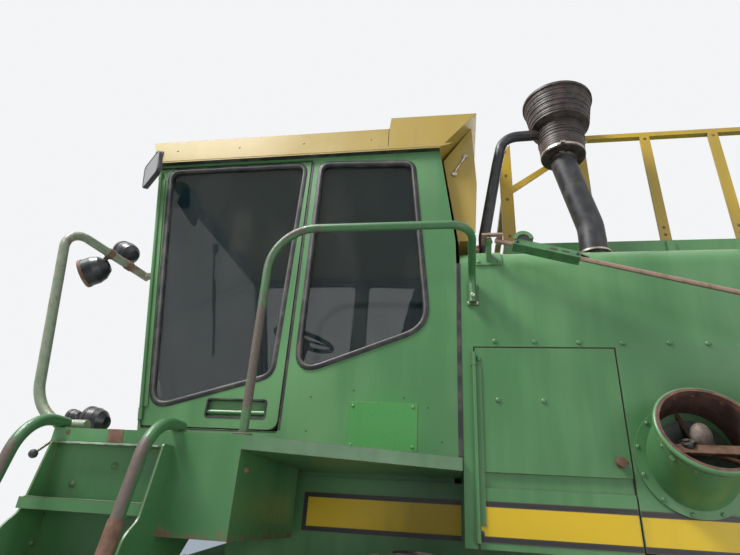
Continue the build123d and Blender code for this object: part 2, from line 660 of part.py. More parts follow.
DOOR_WINDOW = [(1532, 3548), (676, 3548), (703, 2300), (1292, 2128)]
QUARTER_WINDOW = [(587, 3545), (57, 3520), (-36, 2546), (587, 2305)]


def door_hinge():
    """Hinge up the leaning front edge of the cab door."""
    y = CAB_LEFT_Y + HINGE_STANDOFF
    low, high = CAB_SILL_Z + 30, DOOR_TOP_Z - 30
    inset = HINGE_INSET + DOOR_GAP / 2
    return piano_hinge((front_x(low) - inset, y, low), (front_x(high) - inset, y, high))


def cab_frame():
    """Cab shell: floor, posts and walls with the door and window openings cut."""
    w = CAB_WALL
    shell = slab_y(CAB_SIDE, CAB_RIGHT_Y, CAB_LEFT_Y)
    inner = [(front_x(DECK_Z + w) - w, DECK_Z + w), (CAB_FRONT_TOP_X - w, CAB_TOP_Z + 5),
             (CAB_REAR_TOP_X + w, CAB_TOP_Z + 5), (CAB_REAR_BEND_X + w, CAB_REAR_BEND_Z),
             (CAB_REAR_FOOT_X + w, DECK_Z + w)]
    shell -= slab_y(inner, CAB_RIGHT_Y + w, CAB_LEFT_Y - w)
    shell -= slab_y(door_outline(0), CAB_LEFT_Y - w - 5, CAB_LEFT_Y + 5)
    shell -= slab_y(QUARTER_WINDOW, CAB_LEFT_Y - w - 5, CAB_LEFT_Y + 5, [60, 60, 150, 90])
    shell -= slab_y(DOOR_WINDOW, CAB_RIGHT_Y - 5, CAB_RIGHT_Y + w + 5, 70)
    shell -= slab_y(QUARTER_WINDOW, CAB_RIGHT_Y - 5, CAB_RIGHT_Y + w + 5, [60, 60, 150, 90])
    middle = (CAB_LEFT_Y + CAB_RIGHT_Y) / 2
    half = (CAB_LEFT_Y - CAB_RIGHT_Y) / 2 - 60
    shell -= slab_x([(middle - half, 2100), (middle - half, 3540), (middle + half, 3540), (middle + half, 2100)],
                    CAB_FRONT_FOOT_X - 60, CAB_FRONT_TOP_X + 60, 60)
    shell -= slab_x([(middle - 400, 3060), (middle - 400, 3480), (middle + 400, 3480), (middle + 400, 3060)],
                    CAB_REAR_FOOT_X - 60, CAB_REAR_TOP_X + 90, 50)
    return shell + door_hinge()[0]


def cab_roof():
    """Roof: low front half, raised rear half and the cowl that comes down behind the cab."""
    left, right = CAB_LEFT_Y + ROOF_OVERHANG, CAB_RIGHT_Y - ROOF_OVERHANG
    top = 3745
    roof = slab_y([(CAB_FRONT_TOP_X - 1, CAB_TOP_Z + 0), (CAB_FRONT_TOP_X + 56, top), (ROOF_STEP_X, top),
                   (ROOF_STEP_X - 8, top + ROOF_STEP), (-297, top + ROOF_STEP - 5), (-94, CAB_TOP_Z)], right, left)
    cowl = slab_y([(-110, 3560), (-270, 3790), (-290, 3400), (-272, 3040), (-190, 3040), (-188, 3013)],
                  CAB_RIGHT_Y + 60, CAB_LEFT_Y - 60)
    return roof + cowl


def cab_door():
    """Door leaf with its window opening and handle recess."""
    door = slab_y(door_outline(-DOOR_GAP), CAB_LEFT_Y - CAB_WALL, CAB_LEFT_Y, [0, 0, 0, 45])
    door -= slab_y(DOOR_WINDOW, CAB_LEFT_Y - CAB_WALL - 5, CAB_LEFT_Y + 5, [60, 75, 80, 90])
    door -= slab_y([(712, 2098), (712, 2179), (1005, 2179), (1005, 2098)], CAB_LEFT_Y - 25, CAB_LEFT_Y + 5, 12)
    door += bar((706, CAB_LEFT_Y - 14, 2122), (1011, CAB_LEFT_Y - 14, 2122), 10)
    return door + door_hinge()[1]


def pane(points, y_low, radii):
    return slab_y(points, y_low, y_low + GLASS_THICKNESS, radii)


def cab_glass():
    """Fixed panes: windshield, quarter window, right side and rear, each seated in its opening."""
    inset = CAB_WALL / 2 - GLASS_THICKNESS / 2
    quarter = pane(QUARTER_WINDOW, CAB_LEFT_Y - CAB_WALL + inset, [60, 60, 150, 90])
    right_front = pane(DOOR_WINDOW, CAB_RIGHT_Y + inset, 70)
    right_rear = pane(QUARTER_WINDOW, CAB_RIGHT_Y + inset, [60, 60, 150, 90])
    middle = (CAB_LEFT_Y + CAB_RIGHT_Y) / 2
    half = (CAB_LEFT_Y - CAB_RIGHT_Y) / 2 - 60
    slant = slab_y([(front_x(2100) - 23, 2100), (front_x(3540) - 23, 3540), (front_x(3540) - 17, 3540),
                    (front_x(2100) - 17, 2100)], middle - half, middle + half)
    opening = slab_x([(middle - half, 2100), (middle - half, 3540), (middle + half, 3540), (middle + half, 2100)],
                     CAB_FRONT_FOOT_X - 60, CAB_FRONT_TOP_X + 60, 60)
    front = slant & opening
    x_low = CAB_REAR_BEND_X + (CAB_REAR_TOP_X - CAB_REAR_BEND_X) * (3060 - CAB_REAR_BEND_Z) / (
        CAB_TOP_Z - CAB_REAR_BEND_Z)
    x_high = CAB_REAR_BEND_X + (CAB_REAR_TOP_X - CAB_REAR_BEND_X) * (3480 - CAB_REAR_BEND_Z) / (
        CAB_TOP_Z - CAB_REAR_BEND_Z)
    sheet = slab_y([(x_low + 17, 3060), (x_high + 17, 3480), (x_high + 23, 3480), (x_low + 23, 3060)],
                   middle - 400, middle + 400)
    hole = slab_x([(middle - 400, 3060), (middle - 400, 3480), (middle + 400, 3480), (middle + 400, 3060)],
                  CAB_REAR_FOOT_X - 60, CAB_REAR_TOP_X + 90, 50)
    return [quarter, right_front, right_rear, front, sheet & hole]


def door_glass():
    """Pane of the cab door."""
    inset = CAB_WALL / 2 - GLASS_THICKNESS / 2
    return pane(DOOR_WINDOW, CAB_LEFT_Y - CAB_WALL + inset, [60, 75, 80, 90])


SEAT_X = 330
SEAT_Y = 330
FLOOR_TOP = DECK_Z + CAB_WALL


def seat_base():
    """Seat pedestal with its side console."""
    base = block(SEAT_X - 170, SEAT_X + 170, SEAT_Y - 190, SEAT_Y + 190, FLOOR_TOP, 2420)
    console = block(SEAT_X - 250, SEAT_X + 420, SEAT_Y - 520, SEAT_Y - 300, FLOOR_TOP, 2620)
    return [base, console]


def operator_seat():
    """Seat cushion and back rest."""
    cushion = block(SEAT_X - 230, SEAT_X + 250, SEAT_Y - 240, SEAT_Y + 240, 2420, 2530)
    back = slab_y([(SEAT_X - 230, 2530), (SEAT_X - 340, 3020), (SEAT_X - 240, 3040), (SEAT_X - 120, 2530)],
                  SEAT_Y - 240, SEAT_Y + 240)
    return cushion + back


def steering_column():
    """Leaning column with the steering wheel on top."""
    foot, top = (SEAT_X + 640, SEAT_Y, FLOOR_TOP), (SEAT_X + 470, SEAT_Y, 2720)
    column = bar(foot, top, 45)
    lean = Vector(*top) - Vector(*foot)
    ring = Plane(origin=top, z_dir=lean) * Torus(190, 14)
    spoke = Plane(origin=top, z_dir=lean) * (Box(380, 24, 8) + Box(24, 380, 8) + Cylinder(30, 20))
    cut = extrude(Plane(origin=foot, z_dir=(0, 0, -1)) * Rectangle(300, 300), amount=80)
    return column + ring + spoke - cut


# Platform, ladder and rails
def platform():
    """Operator's platform with its edge and the box that carries the ladder."""
    top, low = DECK_Z, DECK_Z - DECK_THICKNESS
    deck = slab_z([(CAB_REAR_FOOT_X, CAB_LEFT_Y - 40), (CAB_REAR_FOOT_X, CAB_LEFT_Y + 20),
                   (DECK_BOX_REAR_X, DECK_LEFT_Y), (DECK_OUTER_FRONT_X, DECK_LEFT_Y),
                   (DECK_OUTER_FRONT_X, CAB_LEFT_Y - 40)], low, top)
    under_cab = block(CAB_REAR_FOOT_X, CAB_FRONT_FOOT_X, CAB_RIGHT_Y, CAB_LEFT_Y - 40, low, top)
    front_deck = block(CAB_FRONT_FOOT_X, DECK_FRONT_X, CAB_RIGHT_Y, CAB_LEFT_Y - 40, low, top)
    box = block(DECK_BOX_REAR_X, LADDER_REAR_X - 4, 760, DECK_LEFT_Y, DECK_BOX_BOTTOM_Z, low)
    box -= block(DECK_BOX_REAR_X + 10, LADDER_REAR_X + 5, 740, DECK_LEFT_Y - 10, DECK_BOX_BOTTOM_Z + 10, low + 1)
    front_box = block(LADDER_REAR_X + 4, LADDER_FRONT_X, 760, 1186, DECK_BOX_BOTTOM_Z, low)
    pads = block(-150, 900, -690, -600, BODY_TOP_Z, low) + block(-150, 900, 600, 690, BODY_TOP_Z, low)
    return deck + under_cab + front_deck + box + front_box + pads


RISER_Y = 1474
RISER_LIP_Y = 1520


def ladder():
    """Two sheet stringers that flare outboard, with treads and riser plates between them."""
    solid = None
    top_z, foot_y = DECK_Z - DECK_THICKNESS, LADDER_FOOT_Y
    for x, top_y in ((LADDER_REAR_X, 1575), (LADDER_FRONT_X, 1520)):
        side = [(1190, top_z), (top_y, top_z), (top_y + 52, 1660), (top_y + 116, 1608),
                (foot_y, LADDER_FOOT_Z + 60), (foot_y - 20, LADDER_FOOT_Z), (foot_y - 190, LADDER_FOOT_Z),
                (1440, 1400), (1190, 1650)]
        plate = slab_x(side, x - PLATE_HALF, x + PLATE_HALF, [0, 12, 60, 90, 20, 20, 60, 60, 0])
        solid = plate if solid is None else solid + plate
    for step in range(1, LADDER_STEPS + 1):
        z = DECK_Z - step * LADDER_RISE
        outer = RISER_Y + 120 + (step - 1) * 74
        solid += block(LADDER_REAR_X, LADDER_FRONT_X, outer - TREAD_DEPTH, outer, z - TREAD_THICKNESS, z)
        solid += block(LADDER_REAR_X, LADDER_FRONT_X, outer - TREAD_THICKNESS, outer, z - 38, z)
    first = DECK_Z - LADDER_RISE
    solid += block(LADDER_REAR_X, LADDER_FRONT_X, RISER_Y, RISER_Y + 6, first - 6, top_z)
    solid += block(LADDER_REAR_X, LADDER_FRONT_X, RISER_Y, RISER_LIP_Y, top_z - 6, top_z)
    return solid + block(LADDER_REAR_X, LADDER_FRONT_X, RISER_Y - 34, RISER_Y - 28, first - 260, first - 6)


def handrails():
    """Long cab-side rail, the two ladder rails and the rail bracket plates."""
    rail_y = DECK_LEFT_Y - 25
    long_rail = bent_bar([(622, rail_y, DECK_Z + 0.4), (632, rail_y, 2850), (-240, rail_y, 2846),
                          (-246, SHIELD_Y + 25, 2802), (-246, SHIELD_Y + 25, 2660)], RAIL_RADIUS, (200, 100, 60))
    plate = block(-276, -220, SHIELD_Y, SHIELD_Y + 8, 2650, 2757)
    rails = [long_rail + plate]
    for x, foot_x in ((LADDER_REAR_X, LADDER_REAR_X - 30), (LADDER_FRONT_X, LADDER_FRONT_X + 30)):
        level = DECK_Z + LADDER_RAIL_RADIUS + 0.4
        rail = bent_bar([(x, 1470, level), (x, 1672, level), (x, 1768, 1560), (foot_x, LADDER_FOOT_Y - 70, 900),
                         (foot_x, LADDER_FOOT_Y - 70, 820)], LADDER_RAIL_RADIUS, (175, 300, 60))
        gap = abs(foot_x - x) - PLATE_HALF - 0.3
        inner = foot_x + (gap if x == LADDER_REAR_X else -gap)
        rail += block(min(foot_x, inner), max(foot_x, inner), LADDER_FOOT_Y - 88, LADDER_FOOT_Y - 52, 830, 860)
        rails.append(rail)
    return rails


GRAB_START = (1522, CAB_LEFT_Y - 40, 2846)
GRAB_CORNER = (1692, 1480, 2908)


def grab_rail():
    """Rail round the platform's front corner, with its two work lamps' brackets."""
    clamp = block(front_x(GRAB_START[2] + 14), GRAB_START[0], CAB_LEFT_Y - 35, CAB_LEFT_Y - 5,
                  GRAB_START[2] - 14, GRAB_START[2] + 14)
    level = DECK_Z + LADDER_RAIL_RADIUS + 0.6
    return clamp + bent_bar([GRAB_START, GRAB_CORNER, (1574, 1425, level), (1322, 1425, level)],
                            LADDER_RAIL_RADIUS, (90, 200))


MIRROR_CENTRE = Vector(1572, CAB_LEFT_Y + 105, 3478)
MIRROR_ACROSS = Vector(-0.78, 0.58, 0.23)
MIRROR_NORMAL = Vector(0.58, 0.80, -0.05)
MIRROR_FOOT_X = 1618
MIRROR_WIDTH = 190
MIRROR_HEIGHT = 176
MIRROR_THICKNESS = 24


def mirror_arm():
    """Rear-view mirror on its bracket at the roof's front corner, turned towards the driver."""
    wall, level = CAB_LEFT_Y + ROOF_OVERHANG, CAB_TOP_Z + 60
    place = Plane(origin=MIRROR_CENTRE, x_dir=MIRROR_ACROSS, z_dir=MIRROR_NORMAL)
    head = fillet(Box(MIRROR_WIDTH, MIRROR_HEIGHT, MIRROR_THICKNESS).edges().filter_by(Axis.Z), 30)
    arm = bar((MIRROR_FOOT_X, wall + 9, level), tuple(MIRROR_CENTRE), 9)
    arm += block(MIRROR_FOOT_X - 25, MIRROR_FOOT_X + 25, wall, wall + 6, level - 25, level + 25)
    arm -= place * (Pos(0, 0, 50) * Box(300, 300, 100))
    return arm + place * head


LAMP_DISH = 14


def lamp(centre, aim, radius, depth):
    """Round lamp with a domed back and a shallow dish in front for its lens."""
    section = outline([(0, -depth * 0.55), (radius * 0.45, -depth * 0.5), (radius * 0.85, -depth * 0.25), (radius, 0),
                       (radius, depth * 0.45), (radius - 5, depth * 0.45), (radius - 5, depth * 0.45 - LAMP_DISH),
                       (0, depth * 0.45 - LAMP_DISH)])
    solid = revolve(Plane.XZ * section, axis=Axis.Z)
    return Plane(origin=centre, z_dir=Vector(*aim)) * solid


def stem(centre, point, radius, gap):
    """Straight bracket from a lamp's middle to just short of what carries it."""
    start, end = Vector(*centre), Vector(*point)
    along = (end - start).normalized()
    return bar(tuple(start + along * 20), tuple(end - along * gap), radius)


def on_grab_rail(y):
    """Point on the grab rail's upper run at one Y."""
    start, end = Vector(*GRAB_START), Vector(*GRAB_CORNER)
    return start + (end - start) * ((y - start.Y) / (end.Y - start.Y))


def work_lamps():
    """Two lamps on the grab rail and two on a bracket on the platform's front."""
    run = (Vector(*GRAB_CORNER) - Vector(*GRAB_START)).normalized()
    lamps = []
    for y, offset, aim, radius, depth in ((1250, Vector(72, 0, -84), (0.86, 0.2, -0.47), 72, 135),
                                          (1140, Vector(60, 0, 96), (0.9, -0.25, 0.35), 60, 120)):
        rail_point = on_grab_rail(y)
        offset = offset - run * offset.dot(run)
        centre = tuple(rail_point + offset)
        lamps.append(lamp(centre, aim, radius, depth)
                     + stem(centre, tuple(rail_point), 12, LADDER_RAIL_RADIUS + 0.3))
    plate = block(1540, 1765, 985, 1015, DECK_Z, DECK_Z + 8)
    for x, z, radius, depth in ((1600, 2066, 66, 110), (1722, 2078, 40, 70)):
        plate += lamp((x, 1000, z), (1, 0, 0.1), radius, depth) + bar((x, 1000, DECK_Z), (x, 1000, z - 20), 12)
    return lamps + [plate]


# Feeder house
FEEDER_REAR_TOP = (970, 1560)
FEEDER_REAR_LOW = (900, 1052)
FEEDER_SIDE = [FEEDER_REAR_TOP, FEEDER_REAR_LOW, (FEEDER_FRONT_X - 20, 430),
               (FEEDER_FRONT_X, 430), (FEEDER_FRONT_X, 1120), (FEEDER_FRONT_X - 60, 1120)]


FEEDER_FALL = (FEEDER_REAR_LOW[1] - 430) / (FEEDER_FRONT_X - 20 - FEEDER_REAR_LOW[0])
FEEDER_DROP = (FEEDER_REAR_TOP[1] - 1120) / (FEEDER_FRONT_X - 60 - FEEDER_REAR_TOP[0])
FEEDER_RIB = 22


def feeder_house():
    """Sloping box with open ends, its pivot arms and the lift lugs below."""
    w = FEEDER_WALL
    half = FEEDER_HALF_WIDTH
    shell = slab_y(FEEDER_SIDE, -half, half)
    hollow = [(BODY_FRONT_X - 10, 1560 - w), (FEEDER_REAR_LOW[0] - 50, FEEDER_REAR_LOW[1] + 22 + w),
              (FEEDER_FRONT_X + 10, 430 + w),
              (FEEDER_FRONT_X + 10, 1120 - w), (FEEDER_FRONT_X - 60, 1120 - w)]
    shell -= slab_y(hollow, w - half, half - w)
    for side in (1, -1):
        for x in (1340, 1700, 2060, FEEDER_FRONT_X - 30):
            low = FEEDER_REAR_LOW[1] - (x - FEEDER_REAR_LOW[0]) * FEEDER_FALL
            top = FEEDER_REAR_TOP[1] - (x - FEEDER_REAR_TOP[0]) * FEEDER_DROP
            rib = slab_y([(x - 18, low + 20), (x + 18, low + 20), (x + 18, top - 20), (x - 18, top - 20)],
                         half - 1, half + FEEDER_RIB)
            shell += rib if side == 1 else mirrored(rib)
        cheek = [(LIFT_EYE_X - 90, LIFT_EYE_Z + 158), (LIFT_EYE_X - 40, LIFT_EYE_Z - 36),
                 (LIFT_EYE_X + 40, LIFT_EYE_Z - 36), (LIFT_EYE_X + 90, LIFT_EYE_Z + 80)]
        lug = slab_y(cheek, LIFT_Y + 36, LIFT_Y + 54) + slab_y(cheek, LIFT_Y - 54, LIFT_Y - 36)
        lug += drum((LIFT_EYE_X, LIFT_Y, LIFT_EYE_Z), LIFT_PIN_RADIUS, 108)
        arm = slab_y([(BODY_FRONT_X + 200, 1500), (BODY_FRONT_X + 200, 1150), (FEEDER_PIVOT_X, 1270),
                      (FEEDER_PIVOT_X, 1390)], BODY_HALF_WIDTH + 6, BODY_HALF_WIDTH + 26, [0, 0, 55, 55])
        arm += block(BODY_FRONT_X + 80, BODY_FRONT_X + 200, half - 2, BODY_HALF_WIDTH + 10, 1200, 1460)
        arm -= drum((FEEDER_PIVOT_X, BODY_HALF_WIDTH, FEEDER_PIVOT_Z), 30 + PIN_CLEARANCE, 200)
        pair = lug + arm
        shell += pair if side == 1 else mirrored(pair)
    return shell


def feeder_pins():
    """Pivot pins of the feeder house on the separator's sides."""
    pin = drum((FEEDER_PIVOT_X, BODY_HALF_WIDTH + 20, FEEDER_PIVOT_Z), 30, 40)
    return [pin, mirrored(pin)]


def lift_geometry():
    """Length and angle of a lift cylinder at rest."""
    dx, dz = LIFT_EYE_X - LIFT_BASE_X, LIFT_EYE_Z - LIFT_BASE_Z
    return hypot(dx, dz), atan2(dz, dx)


def lift_barrel(side):
    """Cylinder barrel with its base eye, bored for the rod."""
    length, angle = lift_geometry()
    base = Vector(LIFT_BASE_X, LIFT_Y, LIFT_BASE_Z)
    along = Vector(cos(angle), 0, sin(angle))
    eye = drum(tuple(base), 40, 60) - drum(tuple(base), LIFT_PIN_RADIUS + PIN_CLEARANCE, 100)
    start = base + along * 62
    body = bar(tuple(start), tuple(base + along * LIFT_BARREL_END), LIFT_BARREL_RADIUS)
    body += bar(tuple(base + along * 30), tuple(start), 26)
    body -= bar(tuple(base + along * LIFT_BORE_START), tuple(base + along * (LIFT_BARREL_END + 5)),
                LIFT_ROD_RADIUS + 0.4)
    solid = eye + (body - drum(tuple(base), LIFT_PIN_RADIUS + PIN_CLEARANCE, 100))
    return solid if side == 1 else mirrored(solid)


def lift_rod(side):
    """Cylinder rod with the eye at its tip."""
    length, angle = lift_geometry()
    base = Vector(LIFT_BASE_X, LIFT_Y, LIFT_BASE_Z)
    along = Vector(cos(angle), 0, sin(angle))
    tip = base + along * length
    rod = bar(tuple(base + along * LIFT_ROD_START), tuple(base + along * (length - 20)), LIFT_ROD_RADIUS)
    eye = drum(tuple(tip), LIFT_EYE_RADIUS, 60)
    solid = rod + eye - drum(tuple(tip), LIFT_EYE_BORE, 100)
    return solid if side == 1 else mirrored(solid)


def lift_anchors():
    """Clevis under the frame for each lift cylinder."""
    solids = []
    for side in (1, -1):
        clevis = None
        for y in (LIFT_Y - 44, LIFT_Y + 44):
            cheek = slab_y([(LIFT_BASE_X - 45, 1000), (LIFT_BASE_X + 45, 1000), (LIFT_BASE_X + 45, LIFT_BASE_Z - 40),
                            (LIFT_BASE_X - 45, LIFT_BASE_Z - 40)], y - 8, y + 8)
            clevis = cheek if clevis is None else clevis + cheek
        clevis += drum((LIFT_BASE_X, LIFT_Y, LIFT_BASE_Z), LIFT_PIN_RADIUS, 104)
        clevis += block(LIFT_BASE_X - 45, LIFT_BASE_X + 45, LIFT_Y - 52, BODY_HALF_WIDTH - 20, 985, 1040)
        solids.append(clevis if side == 1 else mirrored(clevis))
    return solids


# Unloading auger
AUGER_OUT = Vector(0, cos(radians(AUGER_RISE)), sin(radians(AUGER_RISE)))
AUGER_AXIS = Vector(0, sin(radians(AUGER_RISE)), -cos(radians(AUGER_RISE)))
ELBOW_BASE = Vector(AUGER_ELBOW_X, SHIELD_Y, AUGER_ELBOW_Z)
ELBOW_MOUTH = ELBOW_BASE + AUGER_OUT * AUGER_MOUTH_REACH
AUGER_HINGE = ELBOW_MOUTH + Vector(-AUGER_HINGE_OFFSET, 0, 0)
AUGER_MOUTH = AUGER_HINGE + AUGER_OUT * AUGER_HINGE_OFFSET + Vector(-AUGER_MOUTH_GAP, 0, 0)


def hinge_frame():
    """Plane on the auger's hinge: X forward, Y along the elbow's mouth, Z up the pin."""
    return Plane(origin=AUGER_HINGE, x_dir=(1, 0, 0), z_dir=-AUGER_AXIS)


def unloading_elbow():
    """Flange on the side shield, short rising tube and the rolled rim of its mouth."""
    flange = drum((AUGER_ELBOW_X, SHIELD_Y + 5, AUGER_ELBOW_Z), AUGER_RIM_RADIUS + 25, 10)
    inner, outer = AUGER_RADIUS, AUGER_RADIUS + AUGER_WALL
    start = ELBOW_BASE - AUGER_OUT * 120
    tube = bar(tuple(start), tuple(ELBOW_MOUTH), outer)
    keep = block(AUGER_ELBOW_X - 300, AUGER_ELBOW_X + 300, SHIELD_Y, SHIELD_Y + 500, 1500, 2600)
    bore = bar(tuple(ELBOW_BASE - AUGER_OUT * 200), tuple(ELBOW_MOUTH + AUGER_OUT * 10), inner)
    rim_ring = Plane(origin=ELBOW_MOUTH - AUGER_OUT * AUGER_RIM_SECTION, z_dir=AUGER_OUT) * Torus(
        AUGER_RADIUS + AUGER_RIM_SECTION - 2, AUGER_RIM_SECTION)
    solid = (flange + (tube & keep)) - bore
    solid += rim_ring - bore
    ears = Cylinder(AUGER_PIN_RADIUS, 2 * AUGER_EAR_OFFSET)
    for end in (1, -1):
        ears += Pos(22, -5, end * AUGER_EAR_OFFSET) * Box(74, 40, 14)
    return solid + hinge_frame() * ears


def auger_tube():
    """Folded auger tube with its mouth rim and the spout at its end."""
    inner, outer = AUGER_RADIUS - AUGER_WALL, AUGER_RADIUS
    end = AUGER_MOUTH + Vector(-AUGER_LENGTH, 0, 0)
    tube = bar(tuple(AUGER_MOUTH), tuple(end), outer)
    tube -= bar(tuple(AUGER_MOUTH + Vector(10, 0, 0)), tuple(end + Vector(20, 0, 0)), inner)
    collar_back = AUGER_MOUTH + Vector(-AUGER_COLLAR_WIDTH, 0, 0)
    collar = bar(tuple(AUGER_MOUTH), tuple(collar_back), AUGER_RADIUS + AUGER_COLLAR)
    spout_top = end + Vector(190, 0, 0)
    spout = bar(tuple(spout_top), tuple(spout_top + AUGER_AXIS * 420), 150)
    spout_bore = bar(tuple(spout_top), tuple(spout_top + AUGER_AXIS * 430), 144)
    core = bar(tuple(AUGER_MOUTH + Vector(10, 0, 0)), tuple(end + Vector(20, 0, 0)), inner)
    eye = STAY_PIN + STAY_SLOPE * STAY_LENGTH
    lug = bar(tuple(eye + AUGER_AXIS * STAY_LUG_REACH), tuple(eye - AUGER_AXIS * 22), STAY_EYE_PIN_RADIUS)
    lug += bar(tuple(eye + AUGER_AXIS * STAY_LUG_REACH), tuple(eye + AUGER_AXIS * 18), 24)
    knuckle = Cylinder(20, 2 * (AUGER_EAR_OFFSET - 12)) + Pos(-27, 21, 0) * Box(38, 58, 2 * (AUGER_EAR_OFFSET - 16))
    knuckle = hinge_frame() * (knuckle - Cylinder(AUGER_PIN_RADIUS + PIN_CLEARANCE, 4 * AUGER_EAR_OFFSET))
    return tube + (collar - core) + (spout - core) + (lug - core) + (knuckle - core) - spout_bore


def auger_cradle():
    """Bracket on the hood that the folded auger lies over."""
    x = -4100
    z = AUGER_MOUTH.Z - AUGER_RADIUS - 6
    arm = block(x - 25, x + 25, BODY_HALF_WIDTH, AUGER_MOUTH.Y + 60, z - 50, z)
    post = slab_x([(BODY_HALF_WIDTH, z - 50), (BODY_HALF_WIDTH, z - 350), (AUGER_MOUTH.Y - 100, z - 50)],
                  x - 8, x + 8)
    return arm + post


STAY_PIN = Vector(-330, 1150, 2962)
STAY_SLOPE = Vector(-0.94, 0.097, -0.325).normalized()
STAY_LENGTH = 1580
STAY_EYE_PIN_RADIUS = 12
STAY_NOTCH_Y = 15
STAY_LUG_REACH = 190


def stay_bracket():
    """Curved plate on the shield's top front corner with the stay's pivot ear."""
    centre_y, centre_z = SHIELD_Y - SHIELD_TOP_RADIUS, SHIELD_TOP_Z - SHIELD_TOP_RADIUS
    middle = (-328, centre_y, centre_z)
    plate = drum(middle, SHIELD_TOP_RADIUS + 8, 128, (1, 0, 0)) - drum(middle, SHIELD_TOP_RADIUS, 200, (1, 0, 0))
    plate &= block(-400, -260, centre_y + 40, SHIELD_Y + 20, centre_z + 6, SHIELD_TOP_Z + 20)
    tip = STAY_PIN + AUGER_AXIS * 14
    tip_out, tip_in = tip + AUGER_OUT * 16, tip - AUGER_OUT * 16
    ear = slab_x([(SHIELD_Y - 20, 2945), (SHIELD_Y + 3, 2884), (tip_out.Y, tip_out.Z), (tip_in.Y, tip_in.Z)],
                 STAY_PIN.X - 12, STAY_PIN.X + 12)
    ear -= drum(middle, SHIELD_TOP_RADIUS + 2, 200, (1, 0, 0))
    pin = bar(tuple(STAY_PIN + AUGER_AXIS * 30), tuple(STAY_PIN - AUGER_AXIS * 22), 10)
    return plate + ear + pin


def auger_stay():
    """Stay rod with its over-centre latch, from the bracket to the auger's lug."""
    start = STAY_PIN + STAY_SLOPE * 30
    end = STAY_PIN + STAY_SLOPE * STAY_LENGTH
    rod = bar(tuple(start), tuple(end - STAY_SLOPE * 16), 11)
    along = Plane(origin=STAY_PIN, x_dir=STAY_SLOPE, z_dir=STAY_SLOPE.cross(AUGER_OUT))
    channel = along * (Pos(270, 0, 0) * Box(300, 46, 44) - Pos(270, 0, -8) * Box(290, 38, 44))
    wheel = drum(tuple(STAY_PIN + STAY_SLOPE * 165 + Vector(0, 0, 26)), 44, 34)
    eye = drum(tuple(end), 26, 24, tuple(AUGER_AXIS))
    hook_plane = Plane(origin=STAY_PIN, x_dir=(-1, 0, 0), z_dir=-AUGER_AXIS)
    hook = hook_plane * (Pos(14, 0, 0) * Box(98, 64, 14) - Pos(9, STAY_NOTCH_Y, 0) * Box(52, 64, 20))
    stay = rod + channel + wheel + eye + hook
    return stay - drum(tuple(end), STAY_EYE_PIN_RADIUS + PIN_CLEARANCE, 60, tuple(AUGER_AXIS))


# Stacks, elevators and fuel
def precleaner():
    """Air intake: hose from the bay, flared bowl and aspirator pipe."""
    x, y = -778, 910
    hose = bent_bar([(-870, y, SHIELD_TOP_Z), (-870, y, 3150), (x, y, 3560), (x, y, 3660)], 68, (260, 90))
    section = outline([(0, 3612), (118, 3612), (124, 3700), (124, 3800), (160, 3818), (172, 3900), (188, 3985),
                       (196, 3990), (196, 4004), (150, 4020), (0, 4030)])
    bowl = Pos(x, y, 0) * revolve(Plane.XZ * section, axis=Axis.Z)
    pipe = bent_bar([(-322, y, SHIELD_TOP_Z), (-322, y, 3110), (-412, y, 3588), (-455, y, 3784), (-700, y, 3790)],
                    30, (120, 250, 110))
    return hose + bowl + pipe


MUFFLER_RADIUS = 74
MUFFLER_Z = (2800, 3130)


def exhaust_stack():
    """Exhaust pipe behind the cab on the right."""
    pipe = bent_bar([(-430, -480, 2700), (-352, -480, 2700), (-352, -480, 3800)], 50, 60)
    low, high = MUFFLER_Z
    muffler = outline([(0, low), (50, low), (MUFFLER_RADIUS, low + 30), (MUFFLER_RADIUS, high - 30), (50, high),
                       (0, high)])
    return pipe + Pos(-352, -480, 0) * revolve(Plane.XZ * muffler, axis=Axis.Z)


def grain_elevator():
    """Clean-grain elevator on the right side, from the shoe up to the tank's rim."""
    leg = slab_y([(-2320, 620), (-2080, 620), (-2080, 3420), (-2320, 3420)], -SHIELD_Y - 190, -SHIELD_Y - 20, 30)
    spout = slab_x([(-SHIELD_Y - 60, 3400), (-SHIELD_Y - 60, 3260), (-700, 3190), (-700, 3330)], -2290, -2110)
    boot = drum((-2200, -887.5, 720), 90, 685)
    return [leg + spout + boot, tailings_elevator()]


def tailings_elevator():
    """Slanted return elevator beside the separator, ahead of the clean-grain elevator."""
    y0, y1 = -BODY_HALF_WIDTH - 260, -BODY_HALF_WIDTH - 130
    leg = slab_y([(-2000, 640), (-1850, 640), (-1180, 1600), (-1180, 1760), (-1330, 1760), (-2000, 800)], y0, y1, 20)
    shaft = drum((-1925, -(545 + 960) / 2, 720), 60, 960 - 545)
    head = block(-1300, -1210, y1 - 5, -BODY_HALF_WIDTH, 1640, 1730)
    return leg + shaft + head


def fuel_tank():
    """Fuel tank across the hood behind the grain tank."""
    tank = slab_y([(-3720, HOOD_TOP_Z), (-3720, 2820), (-3150, 2820), (-3150, HOOD_TOP_Z)], -620, 620,
                  [0, 120, 120, 0])
    return tank


def hitch():
    """Rear drawbar plate with its pin hole."""
    plate = slab_z([(-WHEELBASE - 420, -120), (-WHEELBASE - 420, 120), (-WHEELBASE - 560, 60),
                    (-WHEELBASE - 560, -60)], 1040, 1065)
    return plate - drum((-WHEELBASE - 510, 0, 1050), 14, 200, (0, 0, 1))


